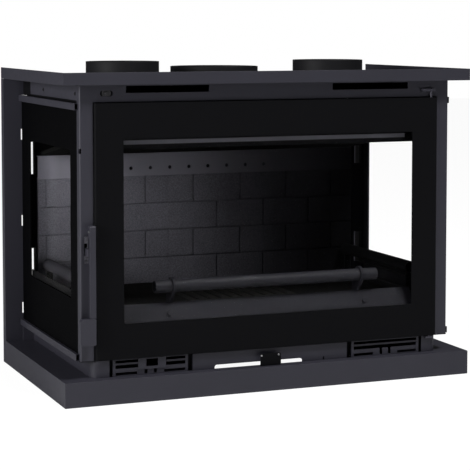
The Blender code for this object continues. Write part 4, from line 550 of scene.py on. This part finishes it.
def upper_glass_clip():
    """The clip over the upper right corner of the door glass."""
    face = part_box("door_glass_retainer")[1].y
    plate("upper_glass_clip", "door", "darkened_black",
          (CLIP_LEFT, face + PLATE_GAP, CLIP_BOTTOM),
          (CLIP_RIGHT, face + CLIP_REACH, CLIP_TOP), CLIP_CORNER)


def air_wash_edge():
    """The edge of the air wash guide under the top of the seal frame: a thin plate in a pale copy of
    the paint, a painted highlight for the light the edge catches.
    """
    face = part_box("seal_frame")[0].y
    plate("air_wash_edge", "root", "painted_highlight",
          (WASH_EDGE_LEFT, face - WASH_EDGE_REACH, WASH_EDGE_BOTTOM),
          (WASH_EDGE_RIGHT, face - PLATE_GAP, WASH_EDGE_TOP))


def set_camera():
    """The camera at the photograph's place, with its lens."""
    eye = bpy.data.objects.new("photo_camera", bpy.data.cameras.new("photo_camera"))
    bpy.context.scene.collection.objects.link(eye)
    eye.location = CAMERA_PLACE
    eye.rotation_euler = (math.radians(90 - CAMERA_TILT), 0, math.radians(-CAMERA_AZIMUTH))
    eye.data.lens = CAMERA_LENS
    eye.data.sensor_width = CAMERA_SENSOR
    eye.data.shift_y = CAMERA_SHIFT
    eye.data.clip_end = CAMERA_REACH
    bpy.context.scene.camera = eye


def panel_lamp(name, place, width, height, power):
    """A flat studio lamp, turned towards the object."""
    lamp = bpy.data.lights.new(name, "AREA")
    lamp.shape = "RECTANGLE"
    lamp.size = width
    lamp.size_y = height
    lamp.energy = power
    item = bpy.data.objects.new(name, lamp)
    bpy.context.scene.collection.objects.link(item)
    item.location = place
    item.rotation_euler = (Vector(LAMP_AIM) - Vector(place)).to_track_quat("-Z", "Y").to_euler()


def straight_view(net):
    """1 where the eye looks straight or through panes, 0 where light has bounced off anything."""
    path = add(net, "LightPath")
    seen = add(net, "Math", operation="MAXIMUM")
    bounces = add(net, "Math", operation="ADD")
    clear = add(net, "Math", operation="SUBTRACT", use_clamp=True)
    clear.inputs[0].default_value = 1.0
    share = add(net, "Math", operation="MULTIPLY")
    net.links.new(path.outputs["Is Camera Ray"], seen.inputs[0])
    net.links.new(path.outputs["Is Transmission Ray"], seen.inputs[1])
    net.links.new(path.outputs["Diffuse Depth"], bounces.inputs[0])
    net.links.new(path.outputs["Glossy Depth"], bounces.inputs[1])
    net.links.new(bounces.outputs["Value"], clear.inputs[1])
    net.links.new(seen.outputs["Value"], share.inputs[0])
    net.links.new(clear.outputs["Value"], share.inputs[1])
    return share.outputs["Value"]


def set_room():
    """A room that looks white to the camera and through glass, with a dim side behind the camera."""
    world = bpy.data.worlds.new("studio")
    bpy.context.scene.world = world
    world.use_nodes = True
    net = world.node_tree
    background = net.nodes["Background"]
    direction = add(net, "TexCoord")
    split = add(net, "SeparateXYZ")
    net.links.new(direction.outputs["Generated"], split.inputs["Vector"])
    depth = add(net, "MapRange")
    set_inputs(depth, {"From Min": ROOM_DIM_UNTIL, "From Max": ROOM_BRIGHT_FROM,
                       "To Min": ROOM_FRONT, "To Max": ROOM_BACK})
    net.links.new(split.outputs["Y"], depth.inputs["Value"])
    strength = add(net, "Mix", data_type="FLOAT")
    net.links.new(straight_view(net), strength.inputs["Factor"])
    net.links.new(depth.outputs["Result"], strength.inputs["A"])
    strength.inputs["B"].default_value = 1.0
    net.links.new(strength.outputs["Result"], background.inputs["Strength"])
    background.inputs["Color"].default_value = (1, 1, 1, 1)


def white_floor():
    """A matt white floor that also glows where it is looked at straight, so that it meets the room."""
    finish, net, shader, output = new_finish("white_floor")
    set_inputs(shader, {"Base Color": FLOOR_TONE, "Roughness": FLOOR_ROUGHNESS})
    glow = add(net, "Emission", Strength=FLOOR_GLOW)
    share = add(net, "Math", operation="MULTIPLY")
    share.inputs[1].default_value = FLOOR_GLOW_SHARE
    mix = add(net, "MixShader")
    net.links.new(straight_view(net), share.inputs[0])
    net.links.new(share.outputs["Value"], mix.inputs["Fac"])
    net.links.new(shader.outputs["BSDF"], mix.inputs[1])
    net.links.new(glow.outputs["Emission"], mix.inputs[2])
    net.links.new(mix.outputs["Shader"], output.inputs["Surface"])
    return finish


def set_floor():
    """The floor, a hair under the object."""
    bm = bmesh.new()
    bmesh.ops.create_grid(bm, x_segments=1, y_segments=1, size=FLOOR_HALF)
    mesh = bpy.data.meshes.new("floor")
    bm.to_mesh(mesh)
    bm.free()
    mesh.materials.append(white_floor())
    floor = bpy.data.objects.new("floor", mesh)
    bpy.context.scene.collection.objects.link(floor)
    floor.location.z = -FLOOR_BELOW


dress_nodes()
for node in EASED_NODES:
    eased(node)
fascia_slot_bolt()
side_fascia_screws()
fire_bed_lip_bolts()
air_control_rivets()
glass_retainer_screws()
upper_glass_clip()
air_wash_edge()
set_camera()
set_room()
for lamp in LAMPS:
    panel_lamp(*lamp)
set_floor()
bpy.context.scene.view_settings.view_transform = "Standard"
